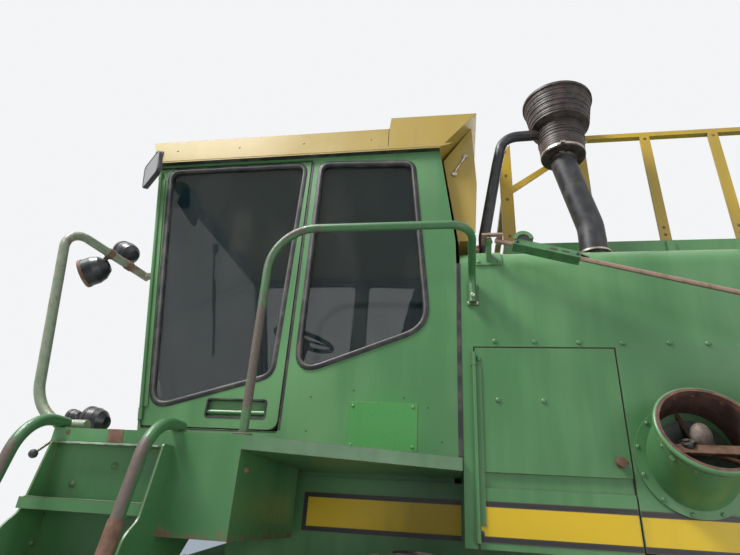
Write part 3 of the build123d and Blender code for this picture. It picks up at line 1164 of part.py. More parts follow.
def build():
    """All pieces by node name, before they are moved to the machine's bottom centre."""
    nodes = {}
    for name, side in (("left", 1), ("right", -1)):
        nodes["front_tyre_" + name], nodes["front_rim_" + name] = front_wheel(side)
        nodes["rear_tyre_" + name], nodes["rear_rim_" + name] = rear_wheel(side)
        nodes["knuckle_" + name] = knuckle(side)
        nodes["lift_barrel_" + name] = lift_barrel(side)
        nodes["lift_rod_" + name] = lift_rod(side)
        nodes["upper_shield_" + name] = side_shell(side)
        nodes["rear_shield_" + name] = rear_shield(side)
    nodes["front_axle"] = front_axle()
    nodes["rear_axle"] = rear_axle()
    nodes["tie_rod"] = tie_rod()
    nodes["frame_rails"] = [frame_rails(), hitch()] + lift_anchors()
    nodes["threshing_body"] = [threshing_body()] + feeder_pins()
    nodes["cleaning_fan"] = cleaning_fan()
    nodes["straw_hood"] = straw_hood()
    nodes["elbow_panel"] = left_elbow_panel()
    nodes["service_door"] = service_door()
    nodes["right_panel"] = right_lower_panel()
    nodes["engine_block"] = engine_block()
    nodes["bay_floor"] = bay_floor()
    nodes["radiator_box"] = radiator_box()
    nodes["radiator_screen"] = radiator_screen()
    nodes["grain_tank"] = grain_tank()
    nodes["tank_frame"] = tank_frame()
    nodes["cab_frame"] = [cab_frame()] + seat_base()
    nodes["cab_roof"] = cab_roof()
    nodes["cab_door"] = cab_door()
    nodes["cab_glass"] = cab_glass()
    nodes["door_glass"] = door_glass()
    nodes["operator_seat"] = operator_seat()
    nodes["steering_column"] = steering_column()
    nodes["platform"] = platform()
    nodes["ladder"] = ladder()
    nodes["handrails"] = handrails()
    nodes["grab_rail"] = grab_rail()
    nodes["cab_mirror"] = mirror_arm()
    nodes["work_lamps"] = work_lamps()
    nodes["feeder_house"] = feeder_house()
    nodes["unloading_elbow"] = unloading_elbow()
    nodes["auger_tube"] = auger_tube()
    nodes["auger_cradle"] = auger_cradle()
    nodes["stay_bracket"] = stay_bracket()
    nodes["auger_stay"] = auger_stay()
    nodes["precleaner"] = precleaner()
    nodes["exhaust_stack"] = exhaust_stack()
    nodes["grain_elevator"] = grain_elevator()
    nodes["fuel_tank"] = fuel_tank()
    return nodes


def solids_of(piece):
    """Every solid of a node, whether it is one shape or a list of them."""
    pieces = piece if isinstance(piece, list) else [piece]
    return [solid for item in pieces for solid in item.solids()]


def base_point(nodes):
    """Bottom centre of the whole machine."""
    box = Compound(children=[solid for piece in nodes.values() for solid in solids_of(piece)]).bounding_box()
    return Vector((box.min.X + box.max.X) / 2, (box.min.Y + box.max.Y) / 2, box.min.Z)


if __name__ == "__main__":
    os.makedirs("parts", exist_ok=True)
    model = build()
    base = base_point(model)
    for node, piece in model.items():
        moved = [Pos(-base.X, -base.Y, -base.Z) * solid for solid in solids_of(piece)]
        shape = moved[0] if len(moved) == 1 else Compound(moved)
        export_step(shape, "parts/" + node + ".step")
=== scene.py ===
"""Looks of a self-propelled combine harvester, built round its packed construction model.

Places are in metres. They are given from the ground under the middle of the front axle, with X
forward, Y to the machine's left and Z up, and spot() takes them to the model's own frame.
"""

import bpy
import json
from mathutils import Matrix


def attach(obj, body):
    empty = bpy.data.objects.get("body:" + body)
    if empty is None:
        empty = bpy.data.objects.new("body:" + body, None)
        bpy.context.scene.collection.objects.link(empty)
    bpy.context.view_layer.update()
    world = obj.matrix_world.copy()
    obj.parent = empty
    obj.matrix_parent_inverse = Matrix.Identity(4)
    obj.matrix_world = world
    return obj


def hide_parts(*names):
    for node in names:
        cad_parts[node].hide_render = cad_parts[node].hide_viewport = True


bl_info = {
    "name": "Combine Harvester Finish",
    "version": (1, 0, 0),
    "blender": (4, 5, 0),
    "location": "View3D > Sidebar > Combine",
    "description": "Paint, glass, rubber and fittings for a combine harvester, with its stage",
    "category": "Object",
}

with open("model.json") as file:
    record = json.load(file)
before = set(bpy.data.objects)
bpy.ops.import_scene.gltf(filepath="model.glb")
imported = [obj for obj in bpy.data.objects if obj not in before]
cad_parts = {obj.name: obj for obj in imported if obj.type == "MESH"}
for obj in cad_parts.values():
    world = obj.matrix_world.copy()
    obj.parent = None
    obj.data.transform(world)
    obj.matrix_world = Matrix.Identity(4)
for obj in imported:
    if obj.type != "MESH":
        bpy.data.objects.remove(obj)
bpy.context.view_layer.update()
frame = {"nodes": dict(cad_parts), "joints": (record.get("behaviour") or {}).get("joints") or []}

import json
from math import atan, cos, exp, pi, radians, sin, tau

import bmesh
import bpy
from mathutils import Matrix, Vector

# Where the machine's own directions lie in the frame
FRONT_WHEEL_Y = 1.3
FRONT_AXLE_Z = 0.8025


def joint(name):
    """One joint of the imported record."""
    return next(entry for entry in frame["joints"] if entry["name"] == name)


ORIGIN = Vector(joint("front_wheel_left_spin")["pos_m"]) - Vector((0, FRONT_WHEEL_Y, FRONT_AXLE_Z))


def spot(x, y, z):
    """Point given from the ground under the front axle's middle, in the frame."""
    return ORIGIN + Vector((x, y, z))


# Camera
PHOTO_WIDTH = 740
FOCAL_PIXELS = 512
SENSOR_WIDTH = 36
EYE = (-0.17, 3.36, 1.70)
SIGHT_RIGHT = Vector((-0.98608, -0.15559, 0.05858))
SIGHT_UP = Vector((-0.01463, 0.43219, 0.90167))

# Main faces of the machine
SHIELD_Y = 1.06
BODY_Y = 0.70
CAB_Y = 1.06
CAB_FAR_Y = -0.64
CAB_MIDDLE_Y = (CAB_Y + CAB_FAR_Y) / 2
DECK_Z = 1.96
DECK_Y = 1.51
CAB_FRONT_FOOT_X = 1.322
CAB_FRONT_TOP_X = 1.615
CAB_TOP_Z = 3.59
CAB_LEAN = (CAB_FRONT_TOP_X - CAB_FRONT_FOOT_X) / (CAB_TOP_Z - DECK_Z)


# Auger elbow, its stay and the wheels
AUGER_OUT = Vector((0, cos(radians(25)), sin(radians(25))))
ELBOW_BASE = spot(-1.080, 1.060, 1.990)
ELBOW_REACH = 0.221
STAY_PIN = spot(-0.330, 1.150, 2.962)
STAY_SLOPE = Vector((-0.94, 0.097, -0.325)).normalized()
# Wheels: the tread's root radius and the lugs' slope in plan; the rear wheel's and the stacks' places
TREAD_ROOT = 0.7645
LUGS_PER_ROW = 18
LUG_SLOPE = 0.8391
REAR_WHEEL = (-3.430, 1.060, 0.485)
INTAKE_X, INTAKE_Y = -0.778, 0.910
EXHAUST_X, EXHAUST_Y = -0.352, -0.480
STAY_WHEEL = STAY_PIN + STAY_SLOPE * 0.165 + Vector((0, 0, 0.026))


def front_x(z):
    """X of the cab's leaning front edge at one height."""
    return CAB_FRONT_FOOT_X + CAB_LEAN * (z - DECK_Z)


# Windows in the cab's sides: corners in X and Z, with the radius of each
DOOR_WINDOW = [(1.532, 3.548), (0.676, 3.548), (0.703, 2.300), (1.292, 2.128)]
DOOR_WINDOW_RADII = [0.060, 0.075, 0.080, 0.090]
QUARTER_WINDOW = [(0.587, 3.545), (0.057, 3.520), (-0.036, 2.546), (0.587, 2.305)]
QUARTER_WINDOW_RADII = [0.060, 0.060, 0.150, 0.090]


# Mesh helpers
def loft(bm, rings, wrap=False, caps=True):
    """Skin over rings that have as many points each; wrap joins the last ring to the first."""
    rows = [[bm.verts.new(point) for point in ring] for ring in rings]
    pairs = list(zip(rows, rows[1:]))
    if wrap:
        pairs.append((rows[-1], rows[0]))
    for first, second in pairs:
        for i in range(len(first)):
            j = (i + 1) % len(first)
            bm.faces.new((first[i], first[j], second[j], second[i]))
    if caps and not wrap:
        bm.faces.new(rows[0])
        bm.faces.new(rows[-1])


def across(axis):
    """Two directions square to an axis and to each other."""
    axis = Vector(axis).normalized()
    aside = axis.cross(Vector((0, 0, 1)))
    if aside.length < 0.1:
        aside = axis.cross(Vector((0, 1, 0)))
    aside.normalize()
    return aside, axis.cross(aside)


def ring(centre, axis, radius, count=16):
    """Points of a circle about an axis."""
    aside, other = across(axis)
    turns = [tau * i / count for i in range(count)]
    return [centre + radius * (cos(turn) * aside + sin(turn) * other) for turn in turns]


def turned(bm, centre, axis, profile, count=24, wrap=False, caps=True):
    """Profile of (radius, height) pairs turned about an axis."""
    axis = Vector(axis).normalized()
    loft(bm, [ring(centre + axis * height, axis, radius, count) for radius, height in profile], wrap, caps)


def slab(bm, outline, place, low, high):
    """Flat outline made solid between two depths; place takes (u, v, depth) to a point."""
    loft(bm, [[place(u, v, depth) for u, v in outline] for depth in (low, high)])


def side(u, v, depth):
    """Outline in X and Z, depth along Y."""
    return spot(u, depth, v)


def level(u, v, depth):
    """Outline in X and Y, depth along Z."""
    return spot(u, v, depth)


def rectangle(u_low, u_high, v_low, v_high):
    return [(u_low, v_low), (u_high, v_low), (u_high, v_high), (u_low, v_high)]


def brick(bm, x, y, z):
    """Block between pairs of X, Y and Z."""
    slab(bm, rectangle(*x, *z), side, *y)


def corner_arc(before, corner, after, radius, steps):
    """Points of the arc that rounds one corner, in two or three dimensions."""
    arms = [(Vector(before) - Vector(corner)), (Vector(after) - Vector(corner))]
    first, second = (arm.normalized() for arm in arms)
    half = first.angle(second) / 2
    if radius <= 0 or half > 1.55:
        return [Vector(corner)]
    reach = min(radius / max(sin(half) / cos(half), 1e-6), 0.49 * min(arm.length for arm in arms))
    start, end = Vector(corner) + first * reach, Vector(corner) + second * reach
    return [start.lerp(Vector(corner), t).lerp(Vector(corner).lerp(end, t), t)
            for t in (step / steps for step in range(steps + 1))]


def rounded(outline, radii, steps=6):
    """Closed outline with its corners rounded."""
    count = len(outline)
    if not isinstance(radii, (list, tuple)):
        radii = [radii] * count
    points = []
    for i, corner in enumerate(outline):
        points += corner_arc(outline[i - 1], corner, outline[(i + 1) % count], radii[i], steps)
    return [tuple(point) for point in points]


def bent(points, radius, steps=6):
    """Open path in space with its inner corners rounded."""
    path = [Vector(points[0])]
    for before, corner, after in zip(points, points[1:], points[2:]):
        path += corner_arc(before, corner, after, radius, steps)
    return path + [Vector(points[-1])]


def tube(bm, path, radius, count=12):
    """Round bar along a path; radius is one number or one for each point."""
    path = [Vector(point) for point in path]
    aside = across(path[1] - path[0])[0]
    rings = []
    for i, point in enumerate(path):
        along = (path[min(i + 1, len(path) - 1)] - path[max(i - 1, 0)]).normalized()
        aside = (aside - along * aside.dot(along)).normalized()
        other = along.cross(aside)
        size = radius[i] if isinstance(radius, (list, tuple)) else radius
        rings.append([point + size * (cos(tau * k / count) * aside + sin(tau * k / count) * other)
                      for k in range(count)])
    loft(bm, rings)


def moulding(bm, outline, profile, place):
    """Profile of (outward, depth) pairs carried round a closed outline."""
    count, rings = len(outline), []
    area = sum(a[0] * b[1] - b[0] * a[1] for a, b in zip(outline, outline[1:] + outline[:1]))
    turn = 1 if area > 0 else -1
    for i, (u, v) in enumerate(outline):
        before, after = Vector(outline[i - 1]), Vector(outline[(i + 1) % count])
        along = (after - before).normalized()
        out_u, out_v = turn * along.y, -turn * along.x
        rings.append([place(u + out_u * out, v + out_v * out, depth) for out, depth in profile])
    loft(bm, rings, wrap=True)


def heads(bm, places, axis, radius, height, count=6):
    """Bolt heads standing on a face: six sides for a hexagon, more for a dome."""
    for place in places:
        if count == 6:
            profile = [(radius * 1.25, 0), (radius * 1.25, height * 0.2), (radius, height * 0.22),
                       (radius, height * 0.85), (radius * 0.8, height)]
        else:
            profile = [(radius, 0), (radius * 0.94, height * 0.4), (radius * 0.7, height * 0.8),
                       (radius * 0.3, height)]
        turned(bm, place, axis, profile, count)


def facing(origin, normal, up=(0, 0, 1)):
    """Placer on a slanted face: u across it, v up it and depth along its normal."""
    normal = Vector(normal).normalized()
    aside = Vector(up).cross(normal).normalized()
    rise = normal.cross(aside)
    origin = spot(*origin)
    return lambda u, v, depth: origin + aside * u + rise * v + normal * depth


def stud(bm, centre, way, long, wide, height):
    """Low oval stud of a tread plate."""
    way = way.normalized()
    other = Vector((-way.y, way.x, 0))
    rings = []
    for share, rise in ((1.0, 0.0), (0.8, 0.7), (0.35, 1.0)):
        rings.append([centre + way * (long * share * cos(tau * i / 8))
                      + other * (wide * share * sin(tau * i / 8))
                      + Vector((0, 0, height * rise)) for i in range(8)])
    loft(bm, rings)


def piece(name, bm, material, body="root", bevel=0.0, smooth=38, replaces=()):
    """Closes a mesh into a piece that rides on a body."""
    bmesh.ops.recalc_face_normals(bm, faces=bm.faces)
    mesh = bpy.data.meshes.new(name)
    bm.to_mesh(mesh)
    bm.free()
    mesh.materials.append(material)
    mesh.shade_smooth()
    mesh.set_sharp_from_angle(angle=radians(smooth))
    made = bpy.data.objects.new(name, mesh)
    bpy.context.scene.collection.objects.link(made)
    if bevel:
        rounding = made.modifiers.new("rounded edges", "BEVEL")
        rounding.width = bevel
        rounding.segments = 2
        rounding.limit_method = "ANGLE"
        rounding.angle_limit = radians(40)
    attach(made, body)
    if replaces:
        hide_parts(*replaces)
    return made


# Materials
class Link:
    """A value inside a material; a sign between two of them adds one Math node."""

    def __init__(self, surface, socket):
        self.surface = surface
        self.socket = socket

    def maths(self, kind, first, second):
        return self.surface.add("ShaderNodeMath", {"operation": kind}, {0: first, 1: second})

    def __add__(self, other):
        return self.maths("ADD", self, other)

    def __sub__(self, other):
        return self.maths("SUBTRACT", self, other)

    def __rsub__(self, other):
        return self.maths("SUBTRACT", other, self)

    def __mul__(self, other):
        return self.maths("MULTIPLY", self, other)

    __radd__ = __add__
    __rmul__ = __mul__


class Surface:
    """One material in the making, with the nodes that most of them share."""

    def __init__(self, name, constants=None):
        self.material = bpy.data.materials.new(name)
        self.material.use_nodes = True
        self.tree = self.material.node_tree
        self.shader = self.tree.nodes["Principled BSDF"]
        self.place = self.add("ShaderNodeTexCoord", output="Object")
        for socket, value in (constants or {}).items():
            self.shader.inputs[socket].default_value = value

    def add(self, kind, settings=None, inputs=None, output=0):
        """New node: its settings first, then the values or links of its sockets; gives one output."""
        node = self.tree.nodes.new(kind)
        for key, value in (settings or {}).items():
            setattr(node, key, value)
        for key, value in (inputs or {}).items():
            self.feed(node.inputs[key], value)
        return Link(self, node.outputs[output])

    def feed(self, socket, value):
        if isinstance(value, Link):
            self.tree.links.new(value.socket, socket)
        else:
            socket.default_value = value

    def shade(self, **values):
        """Feeds the shader; an underscore stands for a space in a socket's name."""
        for name, value in values.items():
            self.feed(self.shader.inputs[name.replace("_", " ")], value)
        return self.material

    def noise(self, scale, detail=3.0, rough=0.55, stretch=None):
        place = self.place
        if stretch:
            place = self.add("ShaderNodeMapping", {}, {"Vector": place, "Scale": stretch})
        return self.add("ShaderNodeTexNoise", {}, {"Vector": place, "Scale": scale, "Detail": detail,
                                                   "Roughness": rough})

    def band(self, value, low, high):
        """0 below low, 1 above high and smooth between."""
        return self.add("ShaderNodeMapRange", {"interpolation_type": "SMOOTHSTEP"},
                        {"Value": value, "From Min": low, "From Max": high})

    def mix(self, mask, first, second, blend="MIX"):
        """Colours mixed by a mask."""
        return self.add("ShaderNodeMix", {"data_type": "RGBA", "blend_type": blend},
                        {0: mask, 6: first, 7: second}, 2)

    def axis(self, name):
        """X, Y or Z of the place in the frame."""
        return self.add("ShaderNodeSeparateXYZ", {}, {0: self.place}, name)

    def facing_up(self):
        normal = self.add("ShaderNodeNewGeometry", output="Normal")
        return self.add("ShaderNodeSeparateXYZ", {}, {0: normal}, "Z")

    def edges(self, reach):
        """Mask that rises where the surface turns sharply within this reach."""
        soft = self.add("ShaderNodeBevel", {"samples": 4}, {"Radius": reach})
        true = self.add("ShaderNodeNewGeometry", output="Normal")
        along = self.add("ShaderNodeVectorMath", {"operation": "DOT_PRODUCT"}, {0: soft, 1: true}, "Value")
        return 1 - along

    def along(self, origin, direction):
        """How far the place lies from a point, along a direction."""
        offset = self.add("ShaderNodeVectorMath", {"operation": "SUBTRACT"}, {0: self.place, 1: origin})
        return self.add("ShaderNodeVectorMath", {"operation": "DOT_PRODUCT"}, {0: offset, 1: direction},
                        "Value")

    def away(self, origin, direction):
        """How far the place lies from a line."""
        offset = self.add("ShaderNodeVectorMath", {"operation": "SUBTRACT"}, {0: self.place, 1: origin})
        square = self.add("ShaderNodeVectorMath", {"operation": "CROSS_PRODUCT"}, {0: offset, 1: direction})
        return self.add("ShaderNodeVectorMath", {"operation": "LENGTH"}, {0: square}, "Value")

    def over(self, mask, colour, rough):
        """Lays another finish over what the shader already has."""
        base = Link(self, self.shader.inputs["Base Color"].links[0].from_socket)
        old = Link(self, self.shader.inputs["Roughness"].links[0].from_socket)
        return self.shade(Base_Color=self.mix(mask, base, colour), Roughness=old * (1 - mask) + mask * rough)

    def bump(self, height, distance, strength=1.0):
        return self.add("ShaderNodeBump", {}, {"Height": height, "Distance": distance, "Strength": strength})


RUST = (0.115, 0.052, 0.026, 1)
DRY_RUST = (0.205, 0.118, 0.075, 1)
DUST = (0.33, 0.30, 0.235, 1)
GRIME = (0.035, 0.034, 0.028, 1)


def paint(name, fresh, faded, wear=0.5, dust=0.35, gloss=0.36, runs=0.5):
    """Sheet metal paint: sun-faded patches, rain runs, dust on what faces up and chipped edges."""
    s = Surface(name, {"Specular IOR Level": 0.5, "Coat Roughness": 0.25})
    broad = s.noise(1.1, 2.0)
    streaks = s.noise(7.0, 4.0, 0.6, (1.0, 1.0, 0.11))
    speckle = s.noise(90.0, 4.0, 0.7)
    colour = s.mix(s.band(broad * 0.7 + streaks * 0.3, 0.40, 0.62), fresh, faded)
    colour = s.mix(s.band(streaks, 0.56, 0.74) * (0.35 * runs), colour, GRIME)
    colour = s.mix(s.band(speckle, 0.66, 0.78) * 0.22, colour, DUST)
    top = s.band(s.facing_up(), 0.35, 0.95) * s.band(s.noise(12.0, 4.0), 0.30, 0.65)
    colour = s.mix(top * dust, colour, DUST)
    chips = s.band(s.edges(0.010) * 1.6 + s.noise(38.0, 5.0, 0.7) * 0.62, 1.04 - 0.42 * wear,
                   1.16 - 0.42 * wear)
    rust = s.mix(s.noise(150.0, 3.0), RUST, DRY_RUST)
    colour = s.mix(chips, colour, rust)
    rough = s.noise(26.0, 4.0) * 0.22 + (gloss - 0.11) + chips * 0.35 + top * (0.3 * dust)
    waves = s.noise(2.3, 1.0) * 0.9 + s.noise(420.0, 2.0) * 0.012 - chips * 0.02
    return s.shade(Base_Color=colour, Roughness=rough, Normal=s.bump(waves, 0.012, 0.55))


def worn_bar_paint(name, fresh, worn, share):
    """Paint on a hand rail, rubbed through to brown metal."""
    s = Surface(name)
    patches = s.noise(9.0, 5.0, 0.65)
    mask = s.band(patches, 0.66 - 0.3 * share, 0.76 - 0.3 * share)
    metal = s.mix(s.noise(70.0, 4.0), worn, DRY_RUST)
    colour = s.mix(mask, s.mix(s.noise(30.0), fresh, DUST), metal)
    colour = s.mix(s.band(s.noise(160.0, 3.0), 0.62, 0.7) * 0.3, colour, GRIME)
    rough = mask * 0.22 + s.noise(60.0) * 0.15 + 0.30
    return s.shade(Base_Color=s.mix(0.12, colour, DUST), Roughness=rough,
                   Normal=s.bump(s.noise(240.0, 4.0) - mask * 0.6, 0.0012))


def rusted(name, light=DRY_RUST, dark=RUST, metallic=0.15):
    """Bare steel under a coat of rust."""
    s = Surface(name, {"Metallic": metallic})
    mask = s.noise(16.0, 6.0, 0.7)
    colour = s.mix(s.band(mask, 0.35, 0.68), dark, light)
    colour = s.mix(s.band(s.noise(120.0, 4.0), 0.55, 0.75) * 0.5, colour, GRIME)
    return s.shade(Base_Color=colour, Roughness=mask * 0.25 + 0.55,
                   Normal=s.bump(s.noise(180.0, 5.0), 0.0015))


def bright_steel(name, tone=(0.46, 0.40, 0.35, 1), rough=0.26):
    """Plated or polished steel with brown stains."""
    s = Surface(name, {"Metallic": 0.9})
    stain = s.band(s.noise(22.0, 5.0, 0.7), 0.45, 0.72)
    colour = s.mix(stain, tone, (0.20, 0.13, 0.09, 1))
    return s.shade(Base_Color=colour, Roughness=stain * 0.28 + rough,
                   Normal=s.bump(s.noise(320.0, 3.0), 0.0005))


def rubber(name, tone=(0.018, 0.018, 0.020, 1), dust=0.25, gloss=0.5):
    """Rubber or soft plastic with dust in it."""
    s = Surface(name, {"Specular IOR Level": 0.35})
    dusty = s.band(s.noise(14.0, 5.0, 0.6), 0.40, 0.75)
    colour = s.mix(dusty * dust, tone, DUST)
    return s.shade(Base_Color=colour, Roughness=dusty * 0.2 + gloss,
                   Normal=s.bump(s.noise(260.0, 4.0), 0.0008))


def tyre_rubber(name):
    """Tyre: black rubber with dry soil on the tread and up the sides."""
    s = Surface(name, {"Specular IOR Level": 0.3})
    soil = s.band(s.noise(6.0, 6.0, 0.65) + s.noise(60.0, 4.0) * 0.25, 0.52, 0.86)
    colour = s.mix(soil * 0.55, (0.022, 0.021, 0.021, 1), (0.20, 0.165, 0.12, 1))
    colour = s.mix(s.band(s.noise(220.0, 3.0), 0.6, 0.75) * 0.35, colour, (0.075, 0.07, 0.065, 1))
    return s.shade(Base_Color=colour, Roughness=soil * 0.2 + 0.62,
                   Normal=s.bump(s.noise(90.0, 5.0) + s.noise(9.0, 3.0) * 1.4, 0.004))


def window_glass(name, tint):
    """Tinted safety glass with a film of dust; it shows more of the sky where it is seen aslant."""
    s = Surface(name, {"IOR": 1.45, "Specular IOR Level": 0.4, "Roughness": 0.03})
    film = s.band(s.noise(5.0, 5.0, 0.6, (1.0, 1.0, 0.35)), 0.42, 0.78)
    slant = s.add("ShaderNodeLayerWeight", {}, {"Blend": 0.25}, "Facing")
    return s.shade(Base_Color=s.mix(film * 0.10, tint, DUST), Alpha=slant * 0.35 + film * 0.05 + 0.46)


def lamp_glass(name, tone):
    """Ribbed lens of a lamp."""
    s = Surface(name, {"IOR": 1.5, "Coat Weight": 0.6})
    ribs = s.add("ShaderNodeTexWave", {"wave_type": "BANDS", "bands_direction": "Z"},
                 {"Vector": s.place, "Scale": 34.0})
    colour = s.mix(s.noise(30.0, 3.0) * 0.5, tone, DUST)
    return s.shade(Base_Color=colour, Roughness=ribs * 0.12 + 0.1, Normal=s.bump(ribs, 0.002))


def seat_vinyl(name):
    """Black vinyl: a fine leather grain, dull with use."""
    s = Surface(name, {"Specular IOR Level": 0.4})
    cells = s.add("ShaderNodeTexVoronoi", {"feature": "DISTANCE_TO_EDGE"},
                  {"Vector": s.place, "Scale": 260.0})
    worn = s.band(s.noise(7.0, 4.0), 0.45, 0.7)
    colour = s.mix(worn * 0.5, (0.016, 0.016, 0.018, 1), (0.07, 0.066, 0.06, 1))
    return s.shade(Base_Color=colour, Roughness=worn * 0.18 + 0.42,
                   Normal=s.bump(s.band(cells, 0.0, 0.12), 0.0008))


def reopened(material):
    """Takes a finished material up again, to lay more over it."""
    s = Surface.__new__(Surface)
    s.material, s.tree = material, material.node_tree
    s.shader = s.tree.nodes["Principled BSDF"]
    s.place = s.add("ShaderNodeTexCoord", output="Object")
    return s


def elbow_finish(name, fresh, faded):
    """Auger elbow: green outside, with a rusty rim and bore."""
    s = reopened(paint(name, fresh, faded, wear=0.7, runs=0.9))
    rust = s.mix(s.band(s.noise(11.0, 6.0, 0.7), 0.35, 0.70), (0.060, 0.026, 0.018, 1),
                 (0.205, 0.098, 0.070, 1))
    rim = s.band(s.along(ELBOW_BASE, AUGER_OUT) + s.noise(40.0, 3.0) * 0.006, ELBOW_REACH - 0.0225,
                 ELBOW_REACH - 0.0195)
    rim = rim * s.band(s.away(ELBOW_BASE, AUGER_OUT) + s.noise(30.0, 3.0) * 0.006, 0.1815, 0.1785)
    bore = s.band(s.away(ELBOW_BASE, AUGER_OUT), 0.1675, 0.1660)
    s.over(bore, s.mix(0.45, rust, (0.030, 0.022, 0.018, 1)), 0.7)
    return s.over(rim, rust, 0.62)


def stay_finish(name, fresh):
    """Auger stay: brown eye rod, green latch, black wheel and a copper-brown rod."""
    s = reopened(bright_steel(name, (0.36, 0.235, 0.175, 1), 0.30))
    local = frame["nodes"]["auger_stay"].matrix_world.inverted()
    pin, slope, wheel_place = local @ STAY_PIN, local.to_3x3() @ STAY_SLOPE, local @ STAY_WHEEL
    along = s.along(pin, slope)
    off = s.away(pin, slope)
    latch = s.band(along, 0.118, 0.120) * s.band(along, 0.422, 0.420) * s.band(off, 0.0125, 0.0140)
    green = s.mix(s.band(s.noise(24.0, 4.0), 0.4, 0.7) * 0.5, fresh, GRIME)
    wheel = s.band(s.away(wheel_place, local.to_3x3() @ Vector((0, 1, 0))), 0.0455, 0.0445) * s.band(off,
                                                                                                     0.030,
                                                                                                     0.0325)
    s.shade(Metallic=(1 - latch) * (1 - wheel) * 0.6)
    s.over(latch, green, 0.42)
    return s.over(wheel, (0.016, 0.016, 0.017, 1), 0.5)


def precleaner_finish(name):
    """Air intake: black rubber hose below a dark brown, ribbed bowl."""
    s = reopened(rubber(name, (0.022, 0.022, 0.025, 1), 0.12, 0.40))
    bowl = s.band(s.axis("Z"), 3.608, 3.612) * s.band(s.away(spot(INTAKE_X, INTAKE_Y, 0), Vector((0, 0, 1))),
                                                      0.215, 0.205)
    brown = s.mix(s.band(s.noise(18.0, 6.0, 0.7), 0.35, 0.7), (0.016, 0.012, 0.011, 1),
                  (0.070, 0.046, 0.038, 1))
    s.over(bowl, brown, 0.5)
    ribs = s.add("ShaderNodeTexWave", {"wave_type": "BANDS", "bands_direction": "Z"},
                 {"Vector": s.place, "Scale": 22.0})
    return s.shade(Normal=s.bump(ribs * bowl * 0.3 + s.noise(220.0, 3.0) * 0.2, 0.003))


def screen_finish(name):
    """Perforated sheet with dust and chaff on it."""
    s = reopened(bright_steel(name, (0.30, 0.29, 0.26, 1), 0.45))
    s.shader.inputs["Metallic"].default_value = 0.5
    cells = s.add("ShaderNodeTexVoronoi", {"feature": "F1"},
                  {"Vector": s.place, "Scale": 95.0, "Randomness": 0.0})
    s.over(s.band(cells, 0.36, 0.30), (0.010, 0.010, 0.010, 1), 0.8)
    return s.over(s.band(s.noise(5.0, 5.0), 0.5, 0.75) * 0.5, DUST, 0.8)


def platform_finish(name, fresh, faded):
    """Platform sheet: rust along its low edges, scuffs and soil on top."""
    s = reopened(paint(name, fresh, faded, wear=0.6, dust=0.5, runs=0.8))
    low = s.band(s.axis("Z") + s.noise(14.0, 5.0, 0.7) * 0.09, 1.688, 1.655) * s.band(s.noise(30.0, 5.0),
                                                                                      0.40, 0.60)
    rust = s.mix(s.noise(90.0, 3.0), RUST, DRY_RUST)
    s.over(low, rust, 0.7)
    scuff = s.band(s.facing_up(), 0.6, 0.9) * s.band(s.noise(7.0, 5.0, 0.65), 0.46, 0.62)
    return s.over(scuff * 0.8, s.mix(s.noise(50.0, 4.0), (0.10, 0.085, 0.065, 1), DUST), 0.75)


def rail_finish(name, fresh):
    """Hand rails: green, and worn brown on the long rail's post and the ladder rails' outside."""
    s = Surface(name)
    metal = s.mix(s.noise(60.0, 4.0), (0.060, 0.044, 0.034, 1), (0.135, 0.098, 0.072, 1))
    patches = s.noise(8.0, 5.0, 0.65)
    post = s.band(s.axis("X"), spot(0.20, 0, 0).x, spot(0.58, 0, 0).x) * s.band(s.axis("X"),
                                                                                spot(0.74, 0, 0).x,
                                                                                spot(0.70, 0, 0).x)
    normal = s.add("ShaderNodeNewGeometry", output="Normal")
    outer = s.add("ShaderNodeVectorMath", {"operation": "DOT_PRODUCT"}, {0: normal, 1: (0.0, 0.86, -0.5)},
                  "Value")
    ladder = s.band(s.axis("X"), spot(0.76, 0, 0).x, spot(0.80, 0, 0).x) * s.band(outer, -0.1, 0.5) * s.band(
        s.axis("Z"), 1.96, 1.86)
    mask = s.band(patches + post * 0.22 + ladder * 0.34, 0.62, 0.74)
    colour = s.mix(mask, s.mix(s.noise(26.0, 4.0) * 0.25, fresh, GRIME), metal)
    colour = s.mix(s.band(s.noise(150.0, 3.0), 0.62, 0.7) * 0.3, colour, GRIME)
    return s.shade(Base_Color=colour, Roughness=mask * 0.2 + s.noise(60.0) * 0.15 + 0.30,
                   Normal=s.bump(s.noise(240.0, 4.0) - mask * 0.6, 0.0012))


def mirror_glass(name):
    """Silvered glass with a film of dust."""
    s = Surface(name, {"Metallic": 1.0})
    film = s.band(s.noise(8.0, 5.0, 0.6), 0.42, 0.78)
    return s.shade(Base_Color=s.mix(film * 0.4, (0.34, 0.34, 0.36, 1), DUST), Roughness=film * 0.3 + 0.04)


